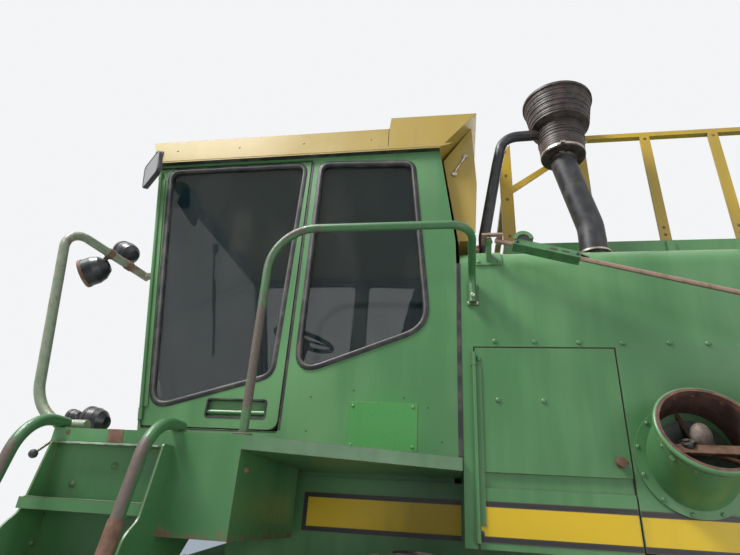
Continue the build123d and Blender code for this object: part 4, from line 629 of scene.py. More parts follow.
def cab_finish(name, fresh, faded, touch_up):
    """Cab shell: body paint outside and dark trim on every inner face."""
    s = reopened(paint(name, fresh, faded, wear=0.35))
    x, y, z = (s.axis(name) for name in "XYZ")
    middle = spot(0, CAB_MIDDLE_Y, 0).y
    half = (CAB_Y - CAB_FAR_Y) / 2
    across_cab = s.band(s.add("ShaderNodeMath", {"operation": "ABSOLUTE"}, {0: y - middle}), half - 0.012,
                        half - 0.016)
    slope = x - (z - DECK_Z) * CAB_LEAN
    behind_front = s.band(slope, spot(CAB_FRONT_FOOT_X, 0, 0).x - 0.012,
                          spot(CAB_FRONT_FOOT_X, 0, 0).x - 0.016)
    ahead_of_rear = s.band(x, spot(-0.165, 0, 0).x, spot(-0.160, 0, 0).x)
    over_floor = s.band(z, DECK_Z + 0.012, DECK_Z + 0.016)
    inside = across_cab * behind_front * ahead_of_rear * over_floor
    trim = s.mix(s.noise(60.0, 3.0), (0.030, 0.031, 0.030, 1), (0.055, 0.054, 0.050, 1))
    # Overspray round the newer paint of the access plate
    plate = spot(0.160, CAB_Y, 2.080)
    reach = s.add("ShaderNodeVectorMath", {"operation": "DISTANCE"}, {0: s.place, 1: plate}, "Value")
    spray = s.band(reach + s.noise(9.0, 3.0) * 0.12, 0.30, 0.12) * 0.55
    s.over(spray, touch_up, 0.36)
    return s.over(inside, trim, 0.6)


# Properties
def colour_property(name, description, default):
    return bpy.props.FloatVectorProperty(name=name, description=description, default=default, subtype="COLOR",
                                         size=4, min=0, max=1)


def length_property(name, description, default):
    return bpy.props.FloatProperty(name=name, description=description, default=default, unit="LENGTH",
                                   min=0, precision=4)


class CombineColours(bpy.types.PropertyGroup):
    """Paints and tints"""

    green: colour_property("Body green", "Body paint where it has kept its colour", (0.050, 0.155, 0.050, 1))
    faded_green: colour_property("Faded green", "Body paint bleached by the sun", (0.105, 0.245, 0.095, 1))
    touch_up: colour_property("Touch-up green", "Newer paint on the access plate", (0.050, 0.225, 0.050, 1))
    yellow: colour_property("Roof yellow", "Roof paint", (0.34, 0.230, 0.040, 1))
    faded_yellow: colour_property("Faded yellow", "Roof paint bleached by the sun", (0.38, 0.275, 0.075, 1))
    deep_yellow: colour_property("Frame yellow", "Tank frame and wheels", (0.47, 0.300, 0.020, 1))
    stripe: colour_property("Stripe yellow", "Long stripe on the sides", (0.66, 0.430, 0.012, 1))
    black: colour_property("Black", "Stripe borders and small fittings", (0.014, 0.014, 0.016, 1))
    glass: colour_property("Glass tint", "Cab windows", (0.006, 0.016, 0.018, 1))


class CombineSizes(bpy.types.PropertyGroup):
    """Sizes of the fittings"""

    gasket_lip: length_property("Gasket lip", "Width of the window gasket over the panel", 0.014)
    gasket_inner: length_property("Gasket inside", "Width of the window gasket over the glass", 0.016)
    gasket_height: length_property("Gasket height", "How far the gasket stands out", 0.008)
    bolt_radius: length_property("Bolt head", "Radius of the round heads on the shields", 0.012)
    bolt_height: length_property("Bolt head height", "Height of the round heads on the shields", 0.007)
    stripe_border: length_property("Stripe border", "Width of the black line round the stripe", 0.022)
    film: length_property("Decal thickness", "Thickness of the stripe over the paint", 0.0012)
    camera_height: length_property("Camera height", "Height of the eye over the ground", EYE[2])


MADE = {}


def finish(name):
    """One of the shared materials, made when it is first asked for."""
    if name not in MADE:
        tone = bpy.context.scene.combine_colours
        recipes = {
            "green": lambda: paint("green_paint", tone.green, tone.faded_green),
            "sheltered": lambda: paint("green_paint_sheltered", tone.green, tone.green, wear=0.6, dust=0.6,
                                       runs=1.2),
            "cab": lambda: cab_finish("green_paint_cab", tone.green, tone.faded_green, tone.touch_up),
            "elbow": lambda: elbow_finish("green_paint_elbow", tone.green, tone.faded_green),
            "stay": lambda: stay_finish("stay_steel", tone.green),
            "precleaner": lambda: precleaner_finish("precleaner_rubber"),
            "screen": lambda: screen_finish("screen_sheet"),
            "worn": lambda: paint("green_paint_worn", tone.green, tone.faded_green, wear=0.75, dust=0.5,
                                  runs=0.8),
            "platform": lambda: platform_finish("green_paint_platform", tone.green, tone.faded_green),
            "mirror": lambda: mirror_glass("mirror_glass"),
            "belt": lambda: rubber("belt_rubber", (0.022, 0.021, 0.020, 1), 0.5, 0.6),
            "conveyor": lambda: rusted("conveyor_steel", (0.26, 0.21, 0.17, 1), (0.12, 0.09, 0.07, 1), 0.4),
            "touch_up": lambda: paint("green_paint_touch_up", tone.touch_up, tone.touch_up, wear=0.3,
                                      gloss=0.3),
            "roof": lambda: paint("yellow_paint_roof", tone.yellow, tone.faded_yellow, wear=0.25, gloss=0.42),
            "frame_yellow": lambda: paint("yellow_paint_frame", tone.deep_yellow, tone.yellow, wear=0.5),
            "rim": lambda: paint("rim_paint", tone.deep_yellow, tone.yellow, wear=0.9, dust=0.7, runs=1.5),
            "stripe": lambda: paint("stripe_film", tone.stripe, tone.stripe, wear=0.1, dust=0.1, runs=0.4),
            "black": lambda: paint("black_paint", tone.black, tone.black, wear=0.3, dust=0.3),
            "iron": lambda: paint("engine_paint", tone.black, tone.green, wear=1.0, dust=0.8, runs=2.0),
            "rail": lambda: rail_finish("rail_paint", tone.green),
            "grab": lambda: worn_bar_paint("grab_rail_paint", tone.green, (0.09, 0.06, 0.05, 1), 0.25),
            "rust": lambda: rusted("rusty_steel"),
            "chips": lambda: rusted("peeling_paint", (0.42, 0.46, 0.38, 1), (0.16, 0.22, 0.15, 1), 0.0),
            "steel": lambda: bright_steel("bare_steel"),
            "rubber": lambda: rubber("black_rubber"),
            "gasket": lambda: rubber("gasket_rubber", (0.020, 0.019, 0.021, 1), 0.18, 0.4),
            "bead": lambda: rubber("gasket_bead", (0.075, 0.068, 0.068, 1), 0.2, 0.36),
            "tyre": lambda: tyre_rubber("tyre_rubber"),
            "glass": lambda: window_glass("tinted_glass", tone.glass),
            "vinyl": lambda: seat_vinyl("seat_cover"),
            "clear_lens": lambda: lamp_glass("lamp_lens_clear", (0.55, 0.55, 0.52, 1)),
            "red_lens": lambda: lamp_glass("lamp_lens_red", (0.42, 0.03, 0.02, 1)),
            "amber_lens": lambda: lamp_glass("lamp_lens_amber", (0.75, 0.22, 0.01, 1)),
        }
        MADE[name] = recipes[name]()
    return MADE[name]


# Words in a node's name and the finish that it gets; the first word that fits holds
NODE_FINISHES = [
    ("tyre", "tyre"), ("rim", "rim"), ("lift_rod", "steel"), ("lift_barrel", "black"), ("glass", "glass"),
    ("cab_roof", "roof"), ("tank_frame", "frame_yellow"), ("cab_frame", "cab"), ("operator_seat", "vinyl"),
    ("steering_column", "black"), ("work_lamps", "black"), ("cab_mirror", "black"), ("engine_block", "iron"),
    ("fuel_tank", "black"), ("handrails", "rail"), ("grab_rail", "grab"), ("auger_stay", "stay"),
    ("radiator_screen", "screen"), ("exhaust", "rust"), ("precleaner", "precleaner"),
                 ("unloading_elbow", "elbow"), ("platform", "platform"), ("ladder", "worn"),
                 ("front_axle", "sheltered"),
    ("rear_axle", "sheltered"), ("knuckle", "sheltered"), ("tie_rod", "sheltered"),
                 ("frame_rails", "sheltered"),
    ("bay_floor", "sheltered"), ("cleaning_fan", "sheltered"),
]


class COMBINE_OT_node_finishes(bpy.types.Operator):
    """Give every construction node its finish"""

    bl_idname = "combine.node_finishes"
    bl_label = "Finish of the nodes"

    def execute(self, context):
        for name, node in frame["nodes"].items():
            kind = next((kind for word, kind in NODE_FINISHES if word in name), "green")
            material = finish(kind)
            node.data.materials.clear()
            node.data.materials.append(material)
            node.data.shade_smooth()
            node.data.set_sharp_from_angle(angle=radians(32))
        return {"FINISHED"}


class COMBINE_OT_gaskets(bpy.types.Operator):
    """Rubber gaskets and locking beads round the cab's windows"""

    bl_idname = "combine.gaskets"
    bl_label = "Window gaskets"

    def execute(self, context):
        size = context.scene.combine_sizes
        lip, inner = size.gasket_lip, size.gasket_inner
        windows = [
            ("door", DOOR_WINDOW, DOOR_WINDOW_RADII, CAB_Y, 1, "cab_door"),
            ("quarter", QUARTER_WINDOW, QUARTER_WINDOW_RADII, CAB_Y, 1, "root"),
            ("far_front", DOOR_WINDOW, 0.070, CAB_FAR_Y, -1, "root"),
            ("far_quarter", QUARTER_WINDOW, QUARTER_WINDOW_RADII, CAB_FAR_Y, -1, "root"),
        ]
        for name, corners, radii, face, way, body in windows:
            # The door's own gasket is flatter, to pass the mirror when the door is wide open
            height = size.gasket_height * (0.5 if name == "door" else 1.0)
            outline = rounded(corners, radii, 8)
            bm = bmesh.new()
            moulding(bm, outline, [(-inner, face - way * 0.016), (-inner, face - way * 0.006),
                                   (-inner * 0.6, face + way * height * 0.5), (0, face + way * height),
                                   (lip * 0.7, face + way * height * 0.8), (lip, face + way * 0.0004),
                                   (-0.001, face - way * 0.0002), (-0.001, face - way * 0.016)], side)
            piece("gasket_" + name, bm, finish("gasket"), body, smooth=60)
            bm = bmesh.new()
            bead = inner * 0.30
            moulding(bm, outline,
                     [(-bead - 0.006, face + way * height * 0.55),
                      (-bead - 0.0045, face + way * height * 1.15),
                                   (-bead, face + way * height * 1.3),
                      (-bead + 0.0045, face + way * height * 1.15),
                                   (-bead + 0.006, face + way * height * 0.7)], side)
            piece("gasket_bead_" + name, bm, finish("bead"), body, smooth=60)
        return {"FINISHED"}


# Where the shields' fittings are: X and Z on the left side, and whether they ride on the service door
SHIELD_BOLTS = [
    (-0.341, 2.476, "root"), (-0.516, 2.474, "root"), (-0.707, 2.472, "root"), (-0.890, 2.470, "root"),
    (-1.080, 2.472, "root"), (-1.232, 2.470, "root"), (-1.400, 2.472, "root"),
                (-0.265, 2.391, "service_door"),
    (-0.343, 2.207, "service_door"), (-0.535, 2.208, "service_door"), (-0.265, 2.140, "service_door"),
    (-0.265, 1.928, "service_door"),
]


class COMBINE_OT_shield_fittings(bpy.types.Operator):
    """Round-headed bolts, latch, seals and a painted shade line of the side shields"""

    bl_idname = "combine.shield_fittings"
    bl_label = "Shield fittings"

    def execute(self, context):
        size = context.scene.combine_sizes
        radius, height = size.bolt_radius, size.bolt_height
        for body in ("root", "service_door"):
            bm = bmesh.new()
            heads(bm, [spot(x, SHIELD_Y, z) for x, z, where in SHIELD_BOLTS if where == body], (0, 1, 0),
                  radius, height, 14)
            if body == "root":
                heads(bm, [spot(x, -SHIELD_Y, z) for x, z, where in SHIELD_BOLTS], (0, -1, 0), radius, height,
                      14)
                heads(bm, [spot(x, 1.02, z) for x in (-1.2, -1.7, -2.2, -2.7, -2.98) for z in (1.84, 1.34)],
                      (0, 1, 0), radius, height, 14)
                heads(bm, [spot(x, -1.02, z) for x in (-1.2, -1.7, -2.5, -2.98) for z in (1.84, 1.34)],
                      (0, -1, 0), radius, height, 14)
            piece("shield_bolts_" + body, bm, finish("green"), body, smooth=60)
        bm = bmesh.new()
        turned(bm, spot(-0.810, SHIELD_Y, 1.969), (0, 1, 0),
               [(0.0215, 0.0003), (0.0215, 0.002), (0.0175, 0.003), (0.0175, 0.021), (0.0195, 0.0245),
                (0.0185, 0.028), (0.012, 0.0300), (0.001, 0.0305)], 28)
        piece("latch_knob", bm, finish("rust"), "service_door", smooth=50)
        bm = bmesh.new()
        slab(bm, rounded(rectangle(-0.842, -0.832, 1.962, 1.976), 0.004), side, SHIELD_Y - 0.001,
             SHIELD_Y + 0.0006)
        turned(bm, spot(-0.256, SHIELD_Y, 1.679), (0, 1, 0),
               [(0.012, 0), (0.012, 0.003), (0.007, 0.005), (0.001, 0.0052)])
        piece("latch_slot", bm, finish("black"), "service_door", smooth=50)
        # Seals: the strip between the cab and the bay; then a black strip that paints the shade line under
        # the upper shield, and the dark joint behind the service door
        bm = bmesh.new()
        brick(bm, (-0.1905, -0.1700), (CAB_Y - 0.03, CAB_Y + 0.003), (1.964, 2.880))
        piece("cab_rear_seal", bm, finish("gasket"), "root", bevel=0.002)
        bm = bmesh.new()
        # Painted shade: this thin black strip under the upper shield's edge stands for the shadow line there;
        # the upright one is the joint behind the door
        brick(bm, (-1.478, -0.192), (SHIELD_Y - 0.026, SHIELD_Y - 0.006), (2.4445, 2.4500))
        brick(bm, (-0.8560, -0.8505), (SHIELD_Y - 0.026, SHIELD_Y - 0.010), (1.655, 2.440))
        piece("shield_shade_line_and_joint", bm, finish("gasket"), "root")
        return {"FINISHED"}


class COMBINE_OT_stripes(bpy.types.Operator):
    """Yellow stripes with black borders, and no lettering, along both sides"""

    bl_idname = "combine.stripes"
    bl_label = "Side stripes"

    def execute(self, context):
        size = context.scene.combine_sizes
        edge, film = size.stripe_border, size.film
        # Name, X from, X to, Z from, Z to, face Y, which way it faces, body, whether each end has a border
        fields = [
            ("separator_left", -0.180, 0.583, 1.640, 1.812, BODY_Y, 1, "root", False, True),
            ("service_door", -0.8495, -0.2500, 1.650, 1.800, SHIELD_Y, 1, "service_door", False, False),
            ("elbow_panel", -1.4790, -0.8570, 1.6505, 1.795, SHIELD_Y, 1, "root", False, False),
            ("rear_shield_left", -2.950, -1.490, 1.640, 1.785, 1.02, 1, "root", True, False),
            ("right_panel", -1.4785, -0.192, 1.650, 1.800, -SHIELD_Y, -1, "root", False, False),
            ("separator_right", -0.180, 0.583, 1.640, 1.812, -BODY_Y, -1, "root", False, True),
            ("rear_shield_right", -2.950, -1.490, 1.640, 1.785, -1.02, -1, "root", True, False),
        ]
        for name, x_low, x_high, z_low, z_high, face, way, body, end_low, end_high in fields:
            near, far = face - way * 0.0004, face + way * film
            bm = bmesh.new()
            slab(bm, rectangle(x_low + 0.001, x_high - 0.001, z_low + 0.001, z_high - 0.001), side, near, far)
            piece("stripe_" + name, bm, finish("stripe"), body)
            bm = bmesh.new()
            for low, high in ((z_low, z_low + edge), (z_high - edge, z_high)):
                slab(bm, rectangle(x_low, x_high, low, high), side, near, far + way * film * 0.5)
            for wanted, low, high in ((end_low, x_low, x_low + edge), (end_high, x_high - edge, x_high)):
                if wanted:
                    slab(bm, rectangle(low, high, z_low + edge, z_high - edge), side, near,
                         far + way * film * 0.5)
            piece("stripe_border_" + name, bm, finish("black"), body)
        return {"FINISHED"}


class COMBINE_OT_cab_fittings(bpy.types.Operator):
    """Access plate, seals, visor, handle rim and wipers of the cab"""

    bl_idname = "combine.cab_fittings"
    bl_label = "Cab fittings"

    def execute(self, context):
        bm = bmesh.new()
        slab(bm, rounded(rectangle(0.006, 0.318, 1.976, 2.184), 0.006), side, CAB_Y - 0.001, CAB_Y + 0.0022)
        piece("access_plate", bm, finish("touch_up"), "root", bevel=0.0008)
        bm = bmesh.new()
        corners = [(x, z) for x in (0.026, 0.298) for z in (1.995, 2.165)]
        heads(bm, [spot(x, CAB_Y + 0.0022, z) for x, z in corners], (0, 1, 0), 0.008, 0.004, 12)
        piece("access_plate_screws", bm, finish("touch_up"), "root", smooth=60)
        bm = bmesh.new()
        for x, z in ((0.499, 2.200), (0.506, 2.047), (0.068, 2.206), (-0.040, 2.165), (0.30, 2.235),
                     (-0.10, 2.02)):
            turned(bm, spot(x, CAB_Y - 0.0006, z), (0, 1, 0),
                   [(0.0045, 0), (0.0045, 0.0010), (0.001, 0.0011)], 12)
        piece("cab_screw_holes", bm, finish("black"), "root")
        # Black seals: rear edge of the door opening and round the handle's recess
        bm = bmesh.new()
        slab(bm, [(0.6405, 2.048), (0.6405, 3.560), (0.6290, 3.560), (0.6290, 2.048)], side, CAB_Y - 0.03,
             CAB_Y + 0.0015)
        slab(bm, [(0.6450, 2.0350), (1.3200, 2.0350), (1.3200, 2.0408), (0.6450, 2.0408)], side,
             CAB_Y - 0.03, CAB_Y + 0.0015)
        piece("door_seal", bm, finish("gasket"), "root", bevel=0.001)
        bm = bmesh.new()
        outline = rounded(rectangle(0.712, 1.005, 2.098, 2.179), 0.012, 6)
        moulding(bm, outline, [(-0.0025, CAB_Y - 0.022), (-0.0025, CAB_Y + 0.0022), (0.0045, CAB_Y + 0.0022),
                               (0.0055, CAB_Y - 0.0004), (-0.0005, CAB_Y - 0.0010), (-0.0005, CAB_Y - 0.022)],
                 side)
        piece("handle_rim", bm, finish("gasket"), "cab_door", smooth=60)
        # Visor on its arm in the cab's upper front corner
        bm = bmesh.new()
        visor = [(1.500, 3.500), (1.440, 3.505), (1.395, 3.462), (1.362, 3.320), (1.362, 3.205),
                 (1.520, 3.400)]
        slab(bm, rounded(visor, 0.03, 5), side, 0.925, 0.945)
        tube(bm, [spot(1.575, 0.93, 3.560), spot(1.540, 0.935, 3.530), spot(1.470, 0.936, 3.480)], 0.012)
        piece("sun_visor", bm, finish("black"), "root", bevel=0.004)
        # Wiper on the windscreen
        lean = (1, 0, -CAB_LEAN)
        face = facing((front_x(2.95) + 0.004, 0.21, 2.95), lean)
        bm = bmesh.new()
        slab(bm, rectangle(-0.006, 0.006, -0.30, 0.28), face, 0.004, 0.020)
        slab(bm, rectangle(-0.012, 0.012, 0.50, 0.58), face, -0.004, 0.030)
        tube(bm, [face(0, 0.54, 0.018), face(0.0, 0.30, 0.026), face(0, 0.0, 0.022)], 0.006, 8)
        piece("wiper", bm, finish("black"), "root", bevel=0.002)
        return {"FINISHED"}


class COMBINE_OT_roof_fittings(bpy.types.Operator):
    """Gutter, seams, a painted shade line under the roof's edge and strut of the roof"""

    bl_idname = "combine.roof_fittings"
    bl_label = "Roof fittings"

    def execute(self, context):
        left, right = CAB_Y + 0.03, CAB_FAR_Y - 0.03
        bm = bmesh.new()
        for face, way in ((left, 1), (right, -1)):
            # Painted shade: a black strip tucked under the roof's edge stands for the shadow line there; the
            # narrow upright strip is the roof's seam
            slab(bm, [(-0.090, 3.5925), (1.612, 3.5925), (1.612, 3.5885), (-0.090, 3.5885)], side,
                 face - way * 0.03, face - way * 0.002)
            slab(bm, rectangle(0.1962, 0.1992, 3.618, 3.744), side, face - way * 0.001, face + way * 0.0008)
        piece("roof_seams_and_shade_line", bm, finish("gasket"), "root")
        bm = bmesh.new()
        for face, way in ((left, 1), (right, -1)):
            slab(bm, [(-0.170, 3.618), (1.626, 3.618), (1.620, 3.598), (-0.110, 3.598)], side,
                 face - way * 0.001, face + way * 0.0016)
        piece("roof_gutter", bm, finish("roof"), "root", bevel=0.001)
        bm = bmesh.new()
        tube(bm, [spot(-0.232, 1.0035, 3.585), spot(-0.178, 1.0045, 3.495), spot(-0.170, 1.0045, 3.470)],
             0.006, 10)
        for x, z in ((-0.232, 3.588), (-0.170, 3.468)):
            turned(bm, spot(x, 0.9998, z), (0, 1, 0),
                   [(0.014, 0), (0.014, 0.010), (0.008, 0.013), (0.001, 0.0132)], 16)
        piece("cowl_strut", bm, finish("steel"), "root", smooth=50)
        bm = bmesh.new()
        places = [spot(x, face, 3.675) for x in (1.50, 1.10, 0.70, 0.30) for face in (left,)]
        heads(bm, places, (0, 1, 0), 0.006, 0.0022, 10)
        heads(bm, [spot(x, right, 3.675) for x in (1.50, 1.10, 0.70, 0.30)], (0, -1, 0), 0.006, 0.0022, 10)
        piece("roof_rivets", bm, finish("roof"), "root", smooth=60)
        return {"FINISHED"}


class COMBINE_OT_platform_fittings(bpy.types.Operator):
    """Notch, lip, bolts, lever and grip ribs of the platform and the ladder"""

    bl_idname = "combine.platform_fittings"
    bl_label = "Platform fittings"

    def execute(self, context):
        bm = bmesh.new()
        slab(bm, [(1.094, 1.9605), (1.158, 1.9605), (1.150, 1.9120), (1.088, 1.9110)], side, DECK_Y - 0.001,
             DECK_Y + 0.0012)
        turned(bm, spot(1.330, DECK_Y, 1.944), (0, 1, 0), [(0.010, 0), (0.010, 0.0012), (0.001, 0.0014)], 14)
        turned(bm, spot(0.612, 1.432, 1.843), (-1, 0, 0),
               [(0.016, 0), (0.013, 0.008), (0.005, 0.014), (0.001, 0.0145)], 9)
        piece("deck_rust", bm, finish("rust"), "root", smooth=50)
        bm = bmesh.new()
        rows = []
        for i in range(31):
            x = 0.930 + i * 0.0135
            out = 0.0016 + 0.0016 * sin(i * 2.1) * sin(i * 0.7)
            rows.append([spot(x, 1.5205, 1.9080), spot(x, 1.5214 + out * 0.6, 1.9072),
                         spot(x, 1.5214 + out * 0.5, 1.9030 - out), spot(x, 1.5204, 1.9028)])
        loft(bm, rows)
        piece("deck_lip_chips", bm, finish("chips"), "root", smooth=60)
        # Bolts with washers on the riser and the stringers
        bm = bmesh.new()
        for x, y, z, axis in ((1.115, 1.480, 1.830, (0, 1, 0)), (1.376, 1.470, 1.556, (-1, 0, 0)),
                              (0.884, 1.470, 1.556, (1, 0, 0)), (1.270, 1.480, 1.760, (0, 1, 0))):
            turned(bm, spot(x, y, z), axis, [(0.014, 0), (0.014, 0.002), (0.0135, 0.0025)], 20)
            heads(bm, [spot(x, y, z) + Vector(axis) * 0.0022], axis, 0.0085, 0.006, 12)
        piece("ladder_bolts", bm, finish("green"), "root", smooth=55)
        bm = bmesh.new()
        for place, axis in (((1.376, 1.444, 1.651), (-1, 0, 0)), ((0.884, 1.444, 1.651), (1, 0, 0))):
            turned(bm, spot(*place), axis, [(0.006, 0), (0.006, 0.0008), (0.001, 0.0009)], 12)
        piece("stringer_holes", bm, finish("black"), "root")
        # Rusty sleeves low on the two ladder rails
        bm = bmesh.new()
        for x, foot in ((0.880, 0.850), (1.380, 1.410)):
            run = [Vector((x, 1.746, 1.655)), Vector((x, 1.7665, 1.565))]
            low = Vector((foot, 1.890, 0.900))
            path = bent([run[0], Vector((x, 1.768, 1.560)), low], 0.30, 8)
            reach = [spot(*point) for point in path if point.z > 1.30]
            tube(bm, reach, 0.0252, 20)
        piece("rail_sleeves", bm, finish("rust"), "root", smooth=50)
        # Lever beside the platform
        bm = bmesh.new()
        tube(bm, [spot(1.420, 1.440, 1.940), spot(1.420, 1.467, 1.917), spot(1.420, 1.546, 1.855)], 0.006, 10)
        piece("platform_lever", bm, finish("steel"), "root", smooth=50)
        bm = bmesh.new()
        turned(bm, spot(1.420, 1.546, 1.855), (0, 0.787, -0.617),
               [(0.007, -0.016), (0.014, -0.009), (0.0175, 0.0), (0.014, 0.010), (0.007, 0.016),
                (0.001, 0.0175)], 18)
        piece("lever_ball", bm, finish("rubber"), "root", smooth=60)
        # Grip ribs on the treads and raised studs on the deck
        bm = bmesh.new()
        for step in range(5):
            top, nose = 1.706 - 0.254 * step, 1.594 + 0.074 * step
            for back in (0.012, 0.050, 0.088, 0.126):
                slab(bm, [(0.886, nose - back), (1.374, nose - back), (1.366, nose - back - 0.008),
                          (0.894, nose - back - 0.008)], level, top - 0.0002, top + 0.0035)
        piece("tread_ribs", bm, finish("sheltered"), "root", bevel=0.001)
        bm = bmesh.new()
        for i in range(24):
            for j in range(15):
                x, y = 0.66 + i * 0.042, 1.085 + j * 0.028
                if x < 1.30 and y < 1.465:
                    way = Vector((1, 1, 0)) if (i + j) % 2 else Vector((1, -1, 0))
                    stud(bm, spot(x, y, DECK_Z), way, 0.0125, 0.0045, 0.0022)
        piece("deck_studs", bm, finish("sheltered"), "root", smooth=60)
        return {"FINISHED"}


class COMBINE_OT_rail_fittings(bpy.types.Operator):
    """Bolts and clamps of the hand rails"""

    bl_idname = "combine.rail_fittings"
    bl_label = "Rail fittings"

    def execute(self, context):
        bm = bmesh.new()
        heads(bm, [spot(-0.247, 1.068, 2.742), spot(-0.247, 1.104, 2.690)], (0, 1, 0), 0.009, 0.008)
        heads(bm, [spot(-0.230, 1.068, 2.664), spot(-0.264, 1.068, 2.664)], (0, 1, 0), 0.008, 0.006)
        heads(bm, [spot(1.512, 1.054, z) for z in (2.838, 2.854)], (0, 1, 0), 0.007, 0.006)
        piece("rail_bolts", bm, finish("steel"), "root")
        # Clamp bands that hold the lamps on the grab rail, and the rails' floor flanges
        bm = bmesh.new()
        start, end = Vector((1.522, 1.020, 2.846)), Vector((1.692, 1.480, 2.908))
        run = (end - start).normalized()
        for y in (1.250, 1.140):
            point = start + (end - start) * ((y - start.y) / (end.y - start.y))
            turned(bm, spot(*point), run,
                   [(0.0222, -0.016), (0.0255, -0.016), (0.0255, 0.016), (0.0222, 0.016)],
                   24, wrap=True)
        piece("lamp_clamps", bm, finish("rust"), "root", smooth=50)
        bm = bmesh.new()
        for x, y in ((0.622, 1.485), (1.322, 1.425), (0.880, 1.470), (1.380, 1.470)):
            slab(bm, rounded(rectangle(x - 0.034, x + 0.034, y - 0.020, min(y + 0.030, 1.509)), 0.008), level,
                 DECK_Z + 0.0003, DECK_Z + 0.0060)
        piece("rail_feet", bm, finish("rail"), "root", bevel=0.0012)
        return {"FINISHED"}


class COMBINE_OT_lamps(bpy.types.Operator):
    """Lenses and rims of the work lamps, and the mirror's glass"""

    bl_idname = "combine.lamps"
    bl_label = "Lamps and mirror"

    def execute(self, context):
        start, end = Vector((1.522, 1.020, 2.846)), Vector((1.692, 1.480, 2.908))
        run = (end - start).normalized()
        lamps = []
        for name, y, offset, aim, radius, depth, glass in (
                ("low", 1.250, Vector((0.072, 0, -0.084)), (0.86, 0.2, -0.47), 0.072, 0.135, "amber_lens"),
                ("high", 1.140, Vector((0.060, 0, 0.096)), (0.9, -0.25, 0.35), 0.060, 0.120, "clear_lens")):
            point = start + (end - start) * ((y - start.y) / (end.y - start.y))
            lamps.append((name, point + offset - run * offset.dot(run), aim, radius, depth, glass))
        lamps.append(("deck", Vector((1.600, 1.000, 2.066)), (1, 0, 0.1), 0.066, 0.110, "clear_lens"))
        lamps.append(("deck_red", Vector((1.722, 1.000, 2.078)), (1, 0, 0.1), 0.040, 0.070, "red_lens"))
        for name, centre, aim, radius, depth, glass in lamps:
            aim, inner, front = Vector(aim).normalized(), radius - 0.0056, depth * 0.45
            bm = bmesh.new()
            turned(bm, spot(*centre), aim,
                   [(inner, front - 0.0137), (inner, front - 0.008), (inner * 0.85, front - 0.002),
                                            (inner * 0.45, front + 0.002), (0.001, front + 0.003)], 36)
            piece("lens_" + name, bm, finish(glass), smooth=60)
            bm = bmesh.new()
            turned(bm, spot(*centre), aim,
                   [(radius - 0.0075, front - 0.001), (radius - 0.0075, front + 0.003),
                                            (radius + 0.0005, front + 0.0035), (radius + 0.0028, front),
                                            (radius + 0.0028, front - 0.014),
                    (radius - 0.0002, front - 0.014)], 36, wrap=True)
            piece("lamp_rim_" + name, bm, finish("rust" if name == "low" else "black"), smooth=50)
        centre, normal = Vector((1.572, 1.165, 3.478)), Vector((0.58, 0.80, -0.05)).normalized()
        across_glass = Vector((-0.78, 0.58, 0.23))
        across_glass = (across_glass - normal * across_glass.dot(normal)).normalized()
        rise = normal.cross(across_glass)
        place = lambda u, v, depth: spot(*centre) + across_glass * u + rise * v + normal * depth
        bm = bmesh.new()
        slab(bm, rounded(rectangle(-0.087, 0.087, -0.080, 0.080), 0.024), place, 0.0119, 0.0132)
        piece("mirror_pane", bm, finish("mirror"))
        bm = bmesh.new()
        moulding(bm, rounded(rectangle(-0.0945, 0.0945, -0.0875, 0.0875), 0.029),
                 [(-0.0085, 0.0118), (-0.0075, 0.0145), (-0.002, 0.0152), (0.0008, 0.012), (0.0008, 0.0),
                  (-0.0002, 0.0)], place)
        piece("mirror_rim", bm, finish("rubber"), smooth=60)
        return {"FINISHED"}


